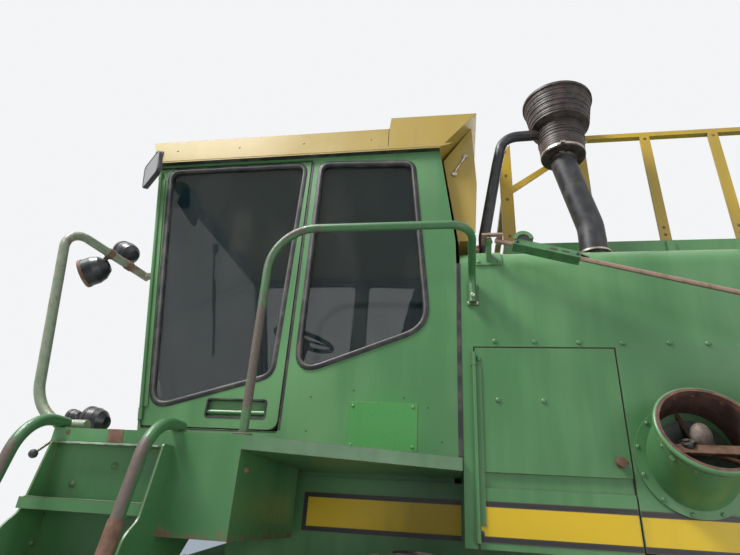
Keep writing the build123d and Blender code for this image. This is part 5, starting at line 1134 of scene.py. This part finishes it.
class COMBINE_OT_auger_fittings(bpy.types.Operator):
    """Bearing hub, cross-bar and bolts of the auger's elbow, and the stay's latch"""

    bl_idname = "combine.auger_fittings"
    bl_label = "Auger fittings"

    def execute(self, context):
        east, rise = Vector((1, 0, 0)), Vector((1, 0, 0)).cross(AUGER_OUT)
        at = lambda reach: ELBOW_BASE + AUGER_OUT * reach
        lean = Vector((0.24, 0.42, 0.87)).normalized()
        foot = at(0.112) + Vector((-0.008, 0, 0))
        bm = bmesh.new()
        turned(bm, foot, lean,
               [(0.040, -0.030), (0.040, 0.0), (0.036, 0.004), (0.0375, 0.012), (0.0375, 0.044),
                                (0.0355, 0.047), (0.0340, 0.052), (0.0270, 0.066), (0.0150, 0.077),
                (0.001, 0.081)], 32)
        piece("auger_hub", bm, finish("conveyor"), smooth=40)
        bm = bmesh.new()
        turned(bm, spot(-1.080, SHIELD_Y + 0.0102, 1.990), (0, 1, 0),
               [(0.150, 0), (0.150, 0.003), (0.060, 0.004), (0.058, 0.030), (0.001, 0.031)], 48)
        piece("auger_bore_floor", bm, finish("iron"), smooth=45)
        bm = bmesh.new()
        middle = at(0.140) - rise * 0.040
        slab(bm, rectangle(-0.1585, 0.1585, -0.020, 0.016), lambda u, v,
             depth: middle + east * u + rise * v + AUGER_OUT * depth,
             -0.006, 0.004)
        slab(bm, rectangle(-0.150, 0.150, -0.004, 0.004), lambda u, v,
             depth: middle + east * u + rise * v + AUGER_OUT * depth,
             -0.040, -0.004)
        for turn_by in (1.4, 3.5):
            spoke = east * cos(turn_by) + rise * sin(turn_by)
            tube(bm, [at(0.070) + spoke * 0.02, at(0.070) + spoke * 0.162], 0.010, 10)
        piece("auger_cross_bar", bm, finish("rust"), bevel=0.0015)
        bm = bmesh.new()
        nut = at(0.130) + east * 0.060 - rise * 0.018
        turned(bm, nut, lean,
               [(0.030, -0.010), (0.031, 0.006), (0.028, 0.012), (0.012, 0.013), (0.012, 0.020),
                (0.001, 0.021)], 20)
        for step in range(5):
            angle = tau * step / 5
            aside, other = across(lean)
            turned(bm, nut + lean * 0.0115 + (aside * cos(angle) + other * sin(angle)) * 0.020, lean,
                   [(0.0045, 0), (0.0045, 0.004), (0.001, 0.0045)], 6)
        piece("auger_nut", bm, finish("black"), smooth=45)
        # Bolts: on the flange, round the tube and inside the bore
        bm = bmesh.new()
        for step in range(12):
            angle = tau * (step + 0.4) / 12
            heads(bm, [spot(-1.080 + 0.203 * cos(angle), SHIELD_Y + 0.010, 1.990 + 0.203 * sin(angle))],
                  (0, 1, 0),
                  0.009, 0.006, 12)
        for reach, angle in ((0.165, -0.30), (0.165, -1.05), (0.165, -1.95), (0.165, 0.5), (0.165, 2.9)):
            spoke = east * cos(angle) + rise * sin(angle)
            heads(bm, [at(reach) + spoke * 0.1712], spoke, 0.0085, 0.006, 12)
        piece("elbow_bolts", bm, finish("green"), smooth=55)
        bm = bmesh.new()
        for angle in (1.15, 1.60, 2.2, 0.6):
            spoke = east * cos(angle) + rise * sin(angle)
            heads(bm, [at(0.188) + spoke * 0.1648], -spoke, 0.0095, 0.005, 12)
        piece("bore_bolts", bm, finish("rust"), smooth=55)
        # Strap joint round the tube, with its lug
        bm = bmesh.new()
        turned(bm, at(0), AUGER_OUT, [(0.1712, 0.150), (0.1735, 0.151), (0.1735, 0.178), (0.1712, 0.179)], 72,
               wrap=True)
        spoke = east * cos(-0.62) + rise * sin(-0.62)
        other = AUGER_OUT.cross(spoke)
        slab(bm, rectangle(-0.010, 0.010, -0.014, 0.014), lambda u, v,
             depth: at(0.164) + spoke * depth + other * u + AUGER_OUT * v,
             0.172, 0.190)
        piece("elbow_strap", bm, finish("elbow"), bevel=0.0008)
        # Stay: slots, pivot bolt, release rod and the guard beside its wheel
        face = AUGER_OUT - STAY_SLOPE * AUGER_OUT.dot(STAY_SLOPE)
        face.normalize()
        up = face.cross(STAY_SLOPE)
        up = up if up.z > 0 else -up
        lie = lambda u, v, depth: STAY_PIN + STAY_SLOPE * u + up * v + face * depth
        bm = bmesh.new()
        for low, high in ((0.285, 0.318), (0.335, 0.372)):
            slab(bm, rounded(rectangle(low, high, -0.007, 0.006), 0.006), lie, 0.0228, 0.0236)
        piece("stay_slots", bm, finish("black"), "auger_stay")
        bm = bmesh.new()
        heads(bm, [lie(0.134, -0.004, 0.0232), lie(0.405, 0.0, 0.0232)], face, 0.0095, 0.007, 14)
        tube(bm,
             [lie(0.215, 0.030, 0.004), lie(0.300, 0.032, 0.004), lie(0.412, 0.0275, 0.004),
              lie(0.455, 0.017, 0.002)], 0.0055, 10)
        piece("stay_release", bm, finish("black"), "auger_stay", smooth=50)
        bm = bmesh.new()
        rings = []
        for step in range(13):
            angle = radians(10 + 160 * step / 12)
            out = Vector((-cos(angle), 0, sin(angle)))
            rings.append([STAY_WHEEL + out * radius + Vector((0, depth, 0))
                          for radius,
                          depth in ((0.0455, 0.006), (0.0485, 0.006), (0.0485, 0.0195), (0.030, 0.0200),
                                                (0.030, 0.0175), (0.0455, 0.0172))])
        loft(bm, rings)
        piece("stay_wheel_guard", bm, finish("green"), "auger_stay", smooth=45)
        bm = bmesh.new()
        axis = AUGER_OUT.cross(Vector((1, 0, 0))).normalized()
        axis = axis if axis.z > 0 else -axis
        for place, way in ((STAY_PIN + axis * 0.0300, axis), (STAY_PIN - axis * 0.0220, -axis)):
            turned(bm, place, way, [(0.016, -0.0002), (0.016, 0.003), (0.010, 0.0045), (0.001, 0.005)], 18)
        piece("stay_pin_heads", bm, finish("green"), smooth=45)
        bm = bmesh.new()
        heads(bm, [spot(-0.377, 1.0655, 2.884), spot(-0.280, 1.0655, 2.884)], (0, 1, 0.18), 0.010, 0.006, 12)
        piece("stay_bracket_bolts", bm, finish("green"), smooth=55)
        return {"FINISHED"}


class COMBINE_OT_stack_fittings(bpy.types.Operator):
    """Bands and clamps of the air intake and the exhaust, and marks on the tank's frame"""

    bl_idname = "combine.stack_fittings"
    bl_label = "Stack fittings"

    def execute(self, context):
        x, y = INTAKE_X, INTAKE_Y
        bm = bmesh.new()
        for z, radius in ((3.712, 0.1245), (3.732, 0.1245), (3.752, 0.1245), (3.772, 0.1245), (3.792, 0.1245),
                          (3.835, 0.1625), (3.868, 0.1675), (3.901, 0.1725), (3.934, 0.1780),
                          (3.967, 0.1845)):
            turned(bm, spot(x, y, z), (0, 0, 1),
                   [(radius - 0.003, -0.005), (radius + 0.0018, -0.0035), (radius + 0.0030, 0),
                                                  (radius + 0.0022, 0.0035), (radius - 0.002, 0.005)], 64,
                   wrap=True)
        piece("precleaner_bands", bm, finish("precleaner"), smooth=60)
        bm = bmesh.new()
        for z, radius in ((3.596, 0.0682), (3.6265, 0.1190)):
            turned(bm, spot(x, y, z), (0, 0, 1),
                   [(radius, -0.007), (radius + 0.0018, -0.007), (radius + 0.0018, 0.007),
                                                  (radius, 0.007)], 48, wrap=True)
            brick(bm, (x + 0.01, x + 0.035), (y + radius, y + radius + 0.012), (z - 0.006, z + 0.006))
        turned(bm, spot(-0.870, y, 2.985), (0, 0, 1),
               [(0.0685, 0), (0.082, 0), (0.082, 0.010), (0.0695, 0.012)], 48, wrap=True)
        turned(bm, spot(-0.322, y, 2.985), (0, 0, 1),
               [(0.0302, 0), (0.038, 0), (0.038, 0.010), (0.0302, 0.012)], 32, wrap=True)
        piece("hose_clamps", bm, finish("steel"), smooth=45)
        # Rain cap and heat bands of the exhaust
        bm = bmesh.new()
        turned(bm, spot(EXHAUST_X, EXHAUST_Y, 3.7905), (0, 0, 1),
               [(0.0502, 0), (0.0535, 0.001), (0.0535, 0.012), (0.0502, 0.013)],
               40, wrap=True)
        turned(bm, spot(EXHAUST_X, EXHAUST_Y, 3.802), (0.25, 0, 1),
               [(0.052, 0), (0.0545, 0.003), (0.052, 0.006), (0.001, 0.009)], 40)
        piece("exhaust_cap", bm, finish("rust"), smooth=45)
        # Screw holes and rust at the frame's slats
        bm = bmesh.new()
        for face, way in ((0.760, 1), (-0.760, -1)):
            for i in range(6):
                x_slat = -0.9175 - 0.370 * i
                for z in (3.185, 3.230, 3.842):
                    turned(bm, spot(x_slat, face, z), (0, way, 0),
                           [(0.010, 0), (0.008, 0.0010), (0.001, 0.0012)], 9)
            for z in (3.20, 3.45, 3.62, 3.80):
                turned(bm, spot(-0.475, face, z), (0, way, 0), [(0.011, 0), (0.008, 0.0010), (0.001, 0.0012)],
                       9)
        piece("frame_rust_marks", bm, finish("rust"), smooth=45)
        return {"FINISHED"}


class COMBINE_OT_wheels(bpy.types.Operator):
    """Tyres with their treads, wheel nuts and hub caps"""

    bl_idname = "combine.wheels"
    bl_label = "Wheels"

    def execute(self, context):
        drive = [(0.337, -0.190), (0.337, -0.216), (0.347, -0.230), (0.352, -0.238), (0.372, -0.243),
                 (0.395, -0.250),
                 (0.470, -0.274), (0.560, -0.2905), (0.640, -0.2885), (0.700, -0.2700), (0.738, -0.2500),
                 (0.756, -0.2250), (0.7635, -0.190), (0.7645, -0.080)]
        steer = [(0.207, -0.080), (0.207, -0.105), (0.216, -0.116), (0.222, -0.121), (0.240, -0.124),
                 (0.300, -0.140),
                 (0.360, -0.1445), (0.420, -0.1380), (0.458, -0.1260), (0.474, -0.1150), (0.482, -0.098),
                 (0.485, -0.080), (0.485, -0.054), (0.463, -0.046), (0.461, -0.040), (0.463, -0.034),
                 (0.485, -0.026)]
        for side_name, way in (("left", 1), ("right", -1)):
            centre = spot(0, way * FRONT_WHEEL_Y, FRONT_AXLE_Z)
            bm = bmesh.new()
            turned(bm, centre, (0, 1, 0), drive + [(r, -y) for r, y in reversed(drive)], 96, wrap=True)
            self.lugs(bm, centre)
            piece("drive_tread_" + side_name, bm, finish("tyre"), "front_wheel_" + side_name,
                  bevel=0.004,
                  smooth=32, replaces=("front_tyre_" + side_name,))
            centre = spot(REAR_WHEEL[0], way * REAR_WHEEL[1], REAR_WHEEL[2])
            bm = bmesh.new()
            turned(bm, centre, (0, 1, 0), steer + [(r, -y) for r, y in reversed(steer)], 96, wrap=True)
            piece("steer_tread_" + side_name, bm, finish("tyre"), "rear_wheel_" + side_name,
                  smooth=32,
                  replaces=("rear_tyre_" + side_name,))
            # Nuts and caps: name, centre, outer face of the disc and of the hub, bolt circle,
            # nut size, count, cap
            for name, x, y, z, disc, hub, circle, nut, count, cap in (
                    ("front", 0, FRONT_WHEEL_Y, FRONT_AXLE_Z, 0.047 if way == 1 else 0.045, 0.085, 0.170,
                     0.015, 8, 0.088),
                    ("rear", -3.430, 1.060, 0.485, 0.007 if way == 1 else 0.005, 0.050, 0.100, 0.011, 6,
                     0.048)):
                body = name + "_wheel_" + side_name
                bm = bmesh.new()
                places = [spot(x + circle * cos(tau * i / count), way * (y + disc),
                               z + circle * sin(tau * i / count))
                          for i in range(count)]
                heads(bm, places, (0, way, 0), nut, nut * 1.1)
                turned(bm, spot(x, way * (y + hub), z), (0, way, 0),
                       [(cap, -0.0002), (cap, cap * 0.10), (cap * 0.86, cap * 0.16), (cap * 0.60, cap * 0.34),
                        (cap * 0.52, cap * 0.36), (0.001, cap * 0.37)], 32)
                piece("wheel_nuts_%s_%s" % (name, side_name), bm, finish("rim"), body, smooth=40)
        return {"FINISHED"}

    def lugs(self, bm, centre):
        """Two rows of slanted lugs that meet in a chevron, on the same places as the frame's own."""
        pitch, root, top = pi / LUGS_PER_ROW, TREAD_ROOT - 0.008, FRONT_AXLE_Z
        # Half-width Y of a section, and the radii of its foot and its top
        sections = [(0.006, root, top - 0.002), (0.030, root, top), (0.120, root, top), (0.200, root, top),
                    (0.236, root - 0.004, top - 0.001), (0.262, root - 0.030, 0.7860), (0.282, 0.700, 0.7640),
                    (0.289, 0.680, 0.7500)]
        for way, shift in ((1, 0), (-1, 1)):
            for step in range(LUGS_PER_ROW):
                middle = (2 * step + shift) * pitch
                rings = []
                for y, low, high in sections:
                    swing = middle - (y - 0.006) * LUG_SLOPE / TREAD_ROOT
                    ring_points = []
                    for radius, aside in ((low, 0.036), (high, 0.0275), (high, -0.0275), (low, -0.036)):
                        angle = swing + aside / TREAD_ROOT
                        ring_points.append(centre + Vector((radius * sin(angle), way * y,
                                                            -radius * cos(angle))))
                    rings.append(ring_points)
                loft(bm, rings)


class COMBINE_OT_side_drives(bpy.types.Operator):
    """Belts round the pulleys on the separator's sides"""

    bl_idname = "combine.side_drives"
    bl_label = "Side drives"

    def execute(self, context):
        drives = [
            ("left", 1, [(-0.700, 1.330, 0.150), (-1.700, 1.350, 0.200), (-2.600, 1.300, 0.130)]),
            ("right", -1,
             [(-0.060, 1.500, 0.250), (-0.700, 1.330, 0.130), (-1.500, 1.400, 0.190),
              (-2.450, 1.290, 0.150)]),
        ]
        for name, way, pulleys in drives:
            points = []
            for x, z, radius in pulleys:
                run = radius - 0.010
                points += [(x + run * cos(tau * i / 48), z + run * sin(tau * i / 48)) for i in range(48)]
            outline = self.hull(points)
            middle = way * (BODY_Y + 0.034 + 0.028)
            bm = bmesh.new()
            moulding(bm, outline, [(-0.010, middle - 0.007), (0.0, middle - 0.011), (0.002, middle - 0.010),
                                   (0.002, middle + 0.010), (0.0, middle + 0.011), (-0.010, middle + 0.007)],
                     side)
            piece("drive_belt_" + name, bm, finish("belt"), smooth=40)
            bm = bmesh.new()
            for x, z, radius in pulleys:
                heads(bm, [spot(x, way * (BODY_Y + 0.034 + 0.056), z)], (0, way, 0), 0.020, 0.014)
            piece("pulley_nuts_" + name, bm, finish("rust"))
        return {"FINISHED"}

    def hull(self, points):
        """Closed line stretched round a cloud of points."""
        points = sorted(set(points))
        chains = []
        for row in (points, points[::-1]):
            chain = []
            for point in row:
                while len(chain) > 1 and ((chain[-1][0] - chain[-2][0]) * (point[1] - chain[-2][1])
                                          - (chain[-1][1] - chain[-2][1]) * (point[0] - chain[-2][0])) <= 0:
                    chain.pop()
                chain.append(point)
            chains.append(chain[:-1])
        return chains[0] + chains[1]


class COMBINE_OT_seat(bpy.types.Operator):
    """Padded seat and back rest with sewn channels"""

    bl_idname = "combine.seat"
    bl_label = "Seat"

    def execute(self, context):
        base = facing((0.340, 0.330, 2.475), (0, 0, 1), (1, 0, 0))
        back = facing((0.0975, 0.330, 2.785), (0.9745, 0, 0.2241), (0, 0, 1))
        # Name, placer, half width, half length, half thickness, how many channels
        for name, place, wide, long, thick, channels in (("seat_cushion", base, 0.236, 0.236, 0.052, 5),
                                                         ("seat_back", back, 0.236, 0.252, 0.048, 5)):
            made = self.pad(name, place, wide, long, thick, channels)
            if name == "seat_cushion":
                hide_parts("operator_seat")
        return {"FINISHED"}

    def pad(self, name, place, wide, long, thick, channels):
        """Crowned pad: its sides pull in between the corners, and seams sink its face."""
        count, rings = 30, []
        bm = bmesh.new()
        grids = []
        for way in (1, -1):
            grid = []
            for i in range(count + 1):
                row = []
                for j in range(count + 1):
                    u, v = 2 * i / count - 1, 2 * j / count - 1
                    # Square grid drawn in to a rounded outline whose sides bow inward
                    bow = 1 - 0.035 * (1 - v * v), 1 - 0.035 * (1 - u * u)
                    corner = 1 - 0.10 * (u * u * v * v) ** 2
                    edge = max(0.0, (1 - abs(u) ** 5) * (1 - abs(v) ** 5)) ** 0.42
                    seam = sum(0.22 * exp(-(((v + 1) / 2 * channels - k) * 7) ** 2) for k in range(1,
                                                                                                   channels))
                    height = thick * edge * (1.0 - seam if way == 1 else 0.75)
                    crown = 0.92 + 0.08 * (1 - u * u) * (1 - v * v)
                    row.append(bm.verts.new(place(u * wide * bow[0] * corner, v * long * bow[1] * corner,
                                                  way * height * crown)))
                grid.append(row)
            grids.append(grid)
        for grid in grids:
            for i in range(count):
                for j in range(count):
                    bm.faces.new((grid[i][j], grid[i + 1][j], grid[i + 1][j + 1], grid[i][j + 1]))
        bmesh.ops.remove_doubles(bm, verts=bm.verts, dist=0.0004)
        made = piece(name, bm, finish("vinyl"), smooth=60)
        smoother = made.modifiers.new("soft", "SUBSURF")
        smoother.levels = smoother.render_levels = 1
        return made


class COMBINE_OT_crop_path(bpy.types.Operator):
    """Conveyor in the feeder house, straw walkers in the hood, and lamps at the rear"""

    bl_idname = "combine.crop_path"
    bl_label = "Crop path"

    def execute(self, context):
        # Conveyor floor runs from the feeder's rear to its mouth: points in X and Z
        rear, front = Vector((1.020, 1.020)), Vector((2.300, 0.474))
        run = (front - rear).normalized()
        rise = Vector((-run.y, run.x))
        lie = lambda u, v, depth: spot(rear.x + run.x * u + rise.x * v, depth,
                                       rear.y + run.y * u + rise.y * v)
        bm = bmesh.new()
        for step in range(9):
            u = 0.12 + step * 0.150
            slab(bm,
                 [(u, 0.060), (u + 0.006, 0.060), (u + 0.006, 0.098), (u + 0.040, 0.098), (u + 0.040, 0.104),
                  (u, 0.104)],
                 lie, -0.590, 0.590)
        for y in (-0.50, 0.0, 0.50):
            slab(bm, [(0.05, 0.104), (1.36, 0.104), (1.36, 0.122), (0.05, 0.122)], lie, y - 0.014, y + 0.014)
            for step in range(22):
                u = 0.08 + step * 0.058
                slab(bm, rounded(rectangle(u, u + 0.040, 0.122, 0.130), 0.003), lie, y - 0.019, y + 0.019)
        turned(bm, lie(1.210, 0.150, 0), (0, 1, 0),
               [(0.022, -0.600), (0.075, -0.560), (0.075, 0.560), (0.022, 0.600)], 24)
        piece("feeder_conveyor", bm, finish("conveyor"), "feeder", bevel=0.001)
        bm = bmesh.new()
        for i in range(5):
            low, high = -0.660 + i * 0.266, -0.660 + i * 0.266 + 0.240
            tilt = 0.02 * (i % 2)
            profile = [(-3.020, 1.560 + tilt)]
            for step in range(6):
                x = -3.060 - step * 0.200
                profile += [(x, 1.690 + tilt - step * 0.012), (x - 0.185, 1.620 + tilt - step * 0.012)]
            profile += [(-4.270, 1.560 + tilt), (-4.250, 1.500 + tilt), (-3.020, 1.470 + tilt)]
            slab(bm, profile, side, low, low + 0.004)
            slab(bm, profile, side, high - 0.004, high)
            for step in range(6):
                x, z = -3.060 - step * 0.200, 1.660 + tilt - step * 0.012
                slab(bm, [(x, z), (x - 0.185, z - 0.068), (x - 0.185, z - 0.074), (x, z - 0.006)], side,
                     low + 0.004, high - 0.004)
        for x in (-3.150, -4.150):
            tube(bm, [spot(x, -0.686, 1.530), spot(x, 0.686, 1.530)], 0.022, 16)
        piece("straw_walkers", bm, finish("conveyor"), bevel=0.0008)
        # Hood: seams' rivets and the rear lamps
        bm = bmesh.new()
        for x in (-3.150, -3.480, -3.990, -4.260):
            for face, way in ((0.708, 1), (-0.708, -1)):
                heads(bm, [spot(x, face, z) for z in (1.25, 1.50, 1.75, 2.00, 2.22)], (0, way, 0), 0.008,
                      0.004, 10)
        piece("hood_rivets", bm, finish("green"), smooth=55)
        for y, tag in ((0.60, "left"), (-0.60, "right")):
            bm = bmesh.new()
            slab(bm, [(-4.638, 2.054), (-4.742, 1.950), (-4.786, 1.950), (-4.786, 2.054)], side, y - 0.080,
                 y + 0.080)
            turned(bm, spot(-4.785, y, 2.002), (-1, 0, 0),
                   [(0.046, 0), (0.046, 0.014), (0.040, 0.018), (0.038, 0.014)], 32)
            piece("rear_lamp_body_" + tag, bm, finish("black"), bevel=0.002, smooth=45)
            bm = bmesh.new()
            turned(bm, spot(-4.785, y, 2.002), (-1, 0, 0),
                   [(0.0375, 0.004), (0.0375, 0.018), (0.024, 0.025), (0.001, 0.027)], 32)
            piece("rear_lens_" + tag, bm, finish("red_lens"), smooth=60)
        return {"FINISHED"}


class COMBINE_OT_stage(bpy.types.Operator):
    """Floor, soft light and the camera at the photo's view"""

    bl_idname = "combine.stage"
    bl_label = "Stage"

    def execute(self, context):
        scene = context.scene
        scene.view_settings.view_transform = "Standard"
        eye = spot(EYE[0], EYE[1], scene.combine_sizes.camera_height)
        camera = bpy.data.objects.new("camera", bpy.data.cameras.new("camera"))
        camera.data.sensor_width = SENSOR_WIDTH
        camera.data.lens = FOCAL_PIXELS / PHOTO_WIDTH * SENSOR_WIDTH
        camera.data.clip_end = 200
        back = SIGHT_RIGHT.cross(SIGHT_UP)
        turn = Matrix((SIGHT_RIGHT, SIGHT_UP, back)).transposed().to_4x4()
        camera.matrix_world = Matrix.Translation(eye) @ turn
        scene.collection.objects.link(camera)
        scene.camera = camera

        bm = bmesh.new()
        turned(bm, Vector((0, 0, 0)), (0, 0, 1), [(0.01, -0.0005), (40.0, -0.0005)], 64, caps=False)
        mesh = bpy.data.meshes.new("floor")
        bm.to_mesh(mesh)
        bm.free()
        s = Surface("floor_grey")
        s.shade(Base_Color=s.mix(s.noise(3.0, 4.0), (0.62, 0.62, 0.61, 1), (0.68, 0.68, 0.67, 1)),
                Roughness=s.noise(20.0) * 0.1 + 0.7)
        mesh.materials.append(s.material)
        floor = bpy.data.objects.new("floor", mesh)
        scene.collection.objects.link(floor)

        self.light_world(scene)
        # Soft lamps: name, place, target, size across, power
        lamps = [
            ("key", (4.5, 3.6, 9.5), (-0.2, 0.9, 2.4), 2.6, 1250),
            ("fill", (-7.5, 8.5, 3.2), (-1.5, 0.5, 2.0), 5.0, 260),
            ("rim", (-5.0, -8.0, 7.5), (-1.0, 0.0, 2.5), 4.0, 520),
        ]
        for name, place, target, across_size, power in lamps:
            lamp = bpy.data.objects.new(name, bpy.data.lights.new(name, "AREA"))
            lamp.data.shape = "DISK"
            lamp.data.size = across_size
            lamp.data.energy = power
            lamp.location = spot(*place)
            aim = spot(*target) - lamp.location
            lamp.rotation_euler = aim.to_track_quat("-Z", "Y").to_euler()
            scene.collection.objects.link(lamp)
        return {"FINISHED"}

    def light_world(self, scene):
        """Pale backdrop for the camera and a softer, graded sky for light and reflections."""
        world = bpy.data.worlds.new("studio")
        world.use_nodes = True
        scene.world = world
        tree = world.node_tree
        background = tree.nodes["Background"]
        ray = tree.nodes.new("ShaderNodeLightPath")
        place = tree.nodes.new("ShaderNodeTexCoord")
        split = tree.nodes.new("ShaderNodeSeparateXYZ")
        sky = tree.nodes.new("ShaderNodeValToRGB")
        seen = tree.nodes.new("ShaderNodeMix")
        seen.data_type = "RGBA"
        # The sky's own colours by height: floor, far hedge, haze and the open sky
        stops = [(0.0, (0.34, 0.34, 0.32, 1)), (0.10, (0.13, 0.15, 0.12, 1)), (0.36, (0.17, 0.21, 0.18, 1)),
                 (0.52, (0.42, 0.55, 0.74, 1)), (1.0, (0.60, 0.68, 0.80, 1))]
        ramp = sky.color_ramp
        while len(ramp.elements) < len(stops):
            ramp.elements.new(0.5)
        for element, (position, colour) in zip(ramp.elements, stops):
            element.position = position
            element.color = colour
        seen.inputs[7].default_value = (0.90, 0.91, 0.92, 1)
        tree.links.new(place.outputs["Generated"], split.inputs[0])
        tree.links.new(split.outputs["Z"], sky.inputs[0])
        tree.links.new(sky.outputs[0], seen.inputs[6])
        # Mirrored and refracted rays see the same pale backdrop as the camera
        first, second = (tree.nodes.new("ShaderNodeMath") for _ in range(2))
        for sum_node, (left, right) in ((first, (ray.outputs["Is Camera Ray"], ray.outputs["Is Glossy Ray"])),
                                        (second, (first.outputs[0], ray.outputs["Is Transmission Ray"]))):
            sum_node.operation = "ADD"
            sum_node.use_clamp = True
            tree.links.new(left, sum_node.inputs[0])
            tree.links.new(right, sum_node.inputs[1])
        tree.links.new(second.outputs[0], seen.inputs[0])
        tree.links.new(seen.outputs[2], background.inputs["Color"])


class COMBINE_PT_panel(bpy.types.Panel):
    """Lists the steps in the sidebar"""

    bl_idname = "COMBINE_PT_panel"
    bl_label = "Combine"
    bl_space_type = "VIEW_3D"
    bl_region_type = "UI"
    bl_category = "Combine"

    def draw(self, context):
        for group in (context.scene.combine_colours, context.scene.combine_sizes):
            for name in type(group).__annotations__:
                self.layout.prop(group, name)
        for operator in OPERATORS:
            self.layout.operator(operator.bl_idname)


OPERATORS = [
    COMBINE_OT_stage, COMBINE_OT_node_finishes, COMBINE_OT_gaskets, COMBINE_OT_shield_fittings,
    COMBINE_OT_stripes, COMBINE_OT_cab_fittings, COMBINE_OT_roof_fittings, COMBINE_OT_platform_fittings,
    COMBINE_OT_rail_fittings, COMBINE_OT_lamps, COMBINE_OT_auger_fittings, COMBINE_OT_stack_fittings,
    COMBINE_OT_wheels, COMBINE_OT_side_drives, COMBINE_OT_seat, COMBINE_OT_crop_path,
]
CLASSES = [CombineColours, CombineSizes, *OPERATORS, COMBINE_PT_panel]


def register():
    for item in CLASSES:
        bpy.utils.register_class(item)
    bpy.types.Scene.combine_colours = bpy.props.PointerProperty(type=CombineColours)
    bpy.types.Scene.combine_sizes = bpy.props.PointerProperty(type=CombineSizes)


def unregister():
    del bpy.types.Scene.combine_colours
    del bpy.types.Scene.combine_sizes
    for item in reversed(CLASSES):
        bpy.utils.unregister_class(item)


def main():
    """Registers the classes and runs every step in order."""
    register()
    for operator in OPERATORS:
        group, name = operator.bl_idname.split(".")
        getattr(getattr(bpy.ops, group), name)()


if __name__ == "__main__":
    main()
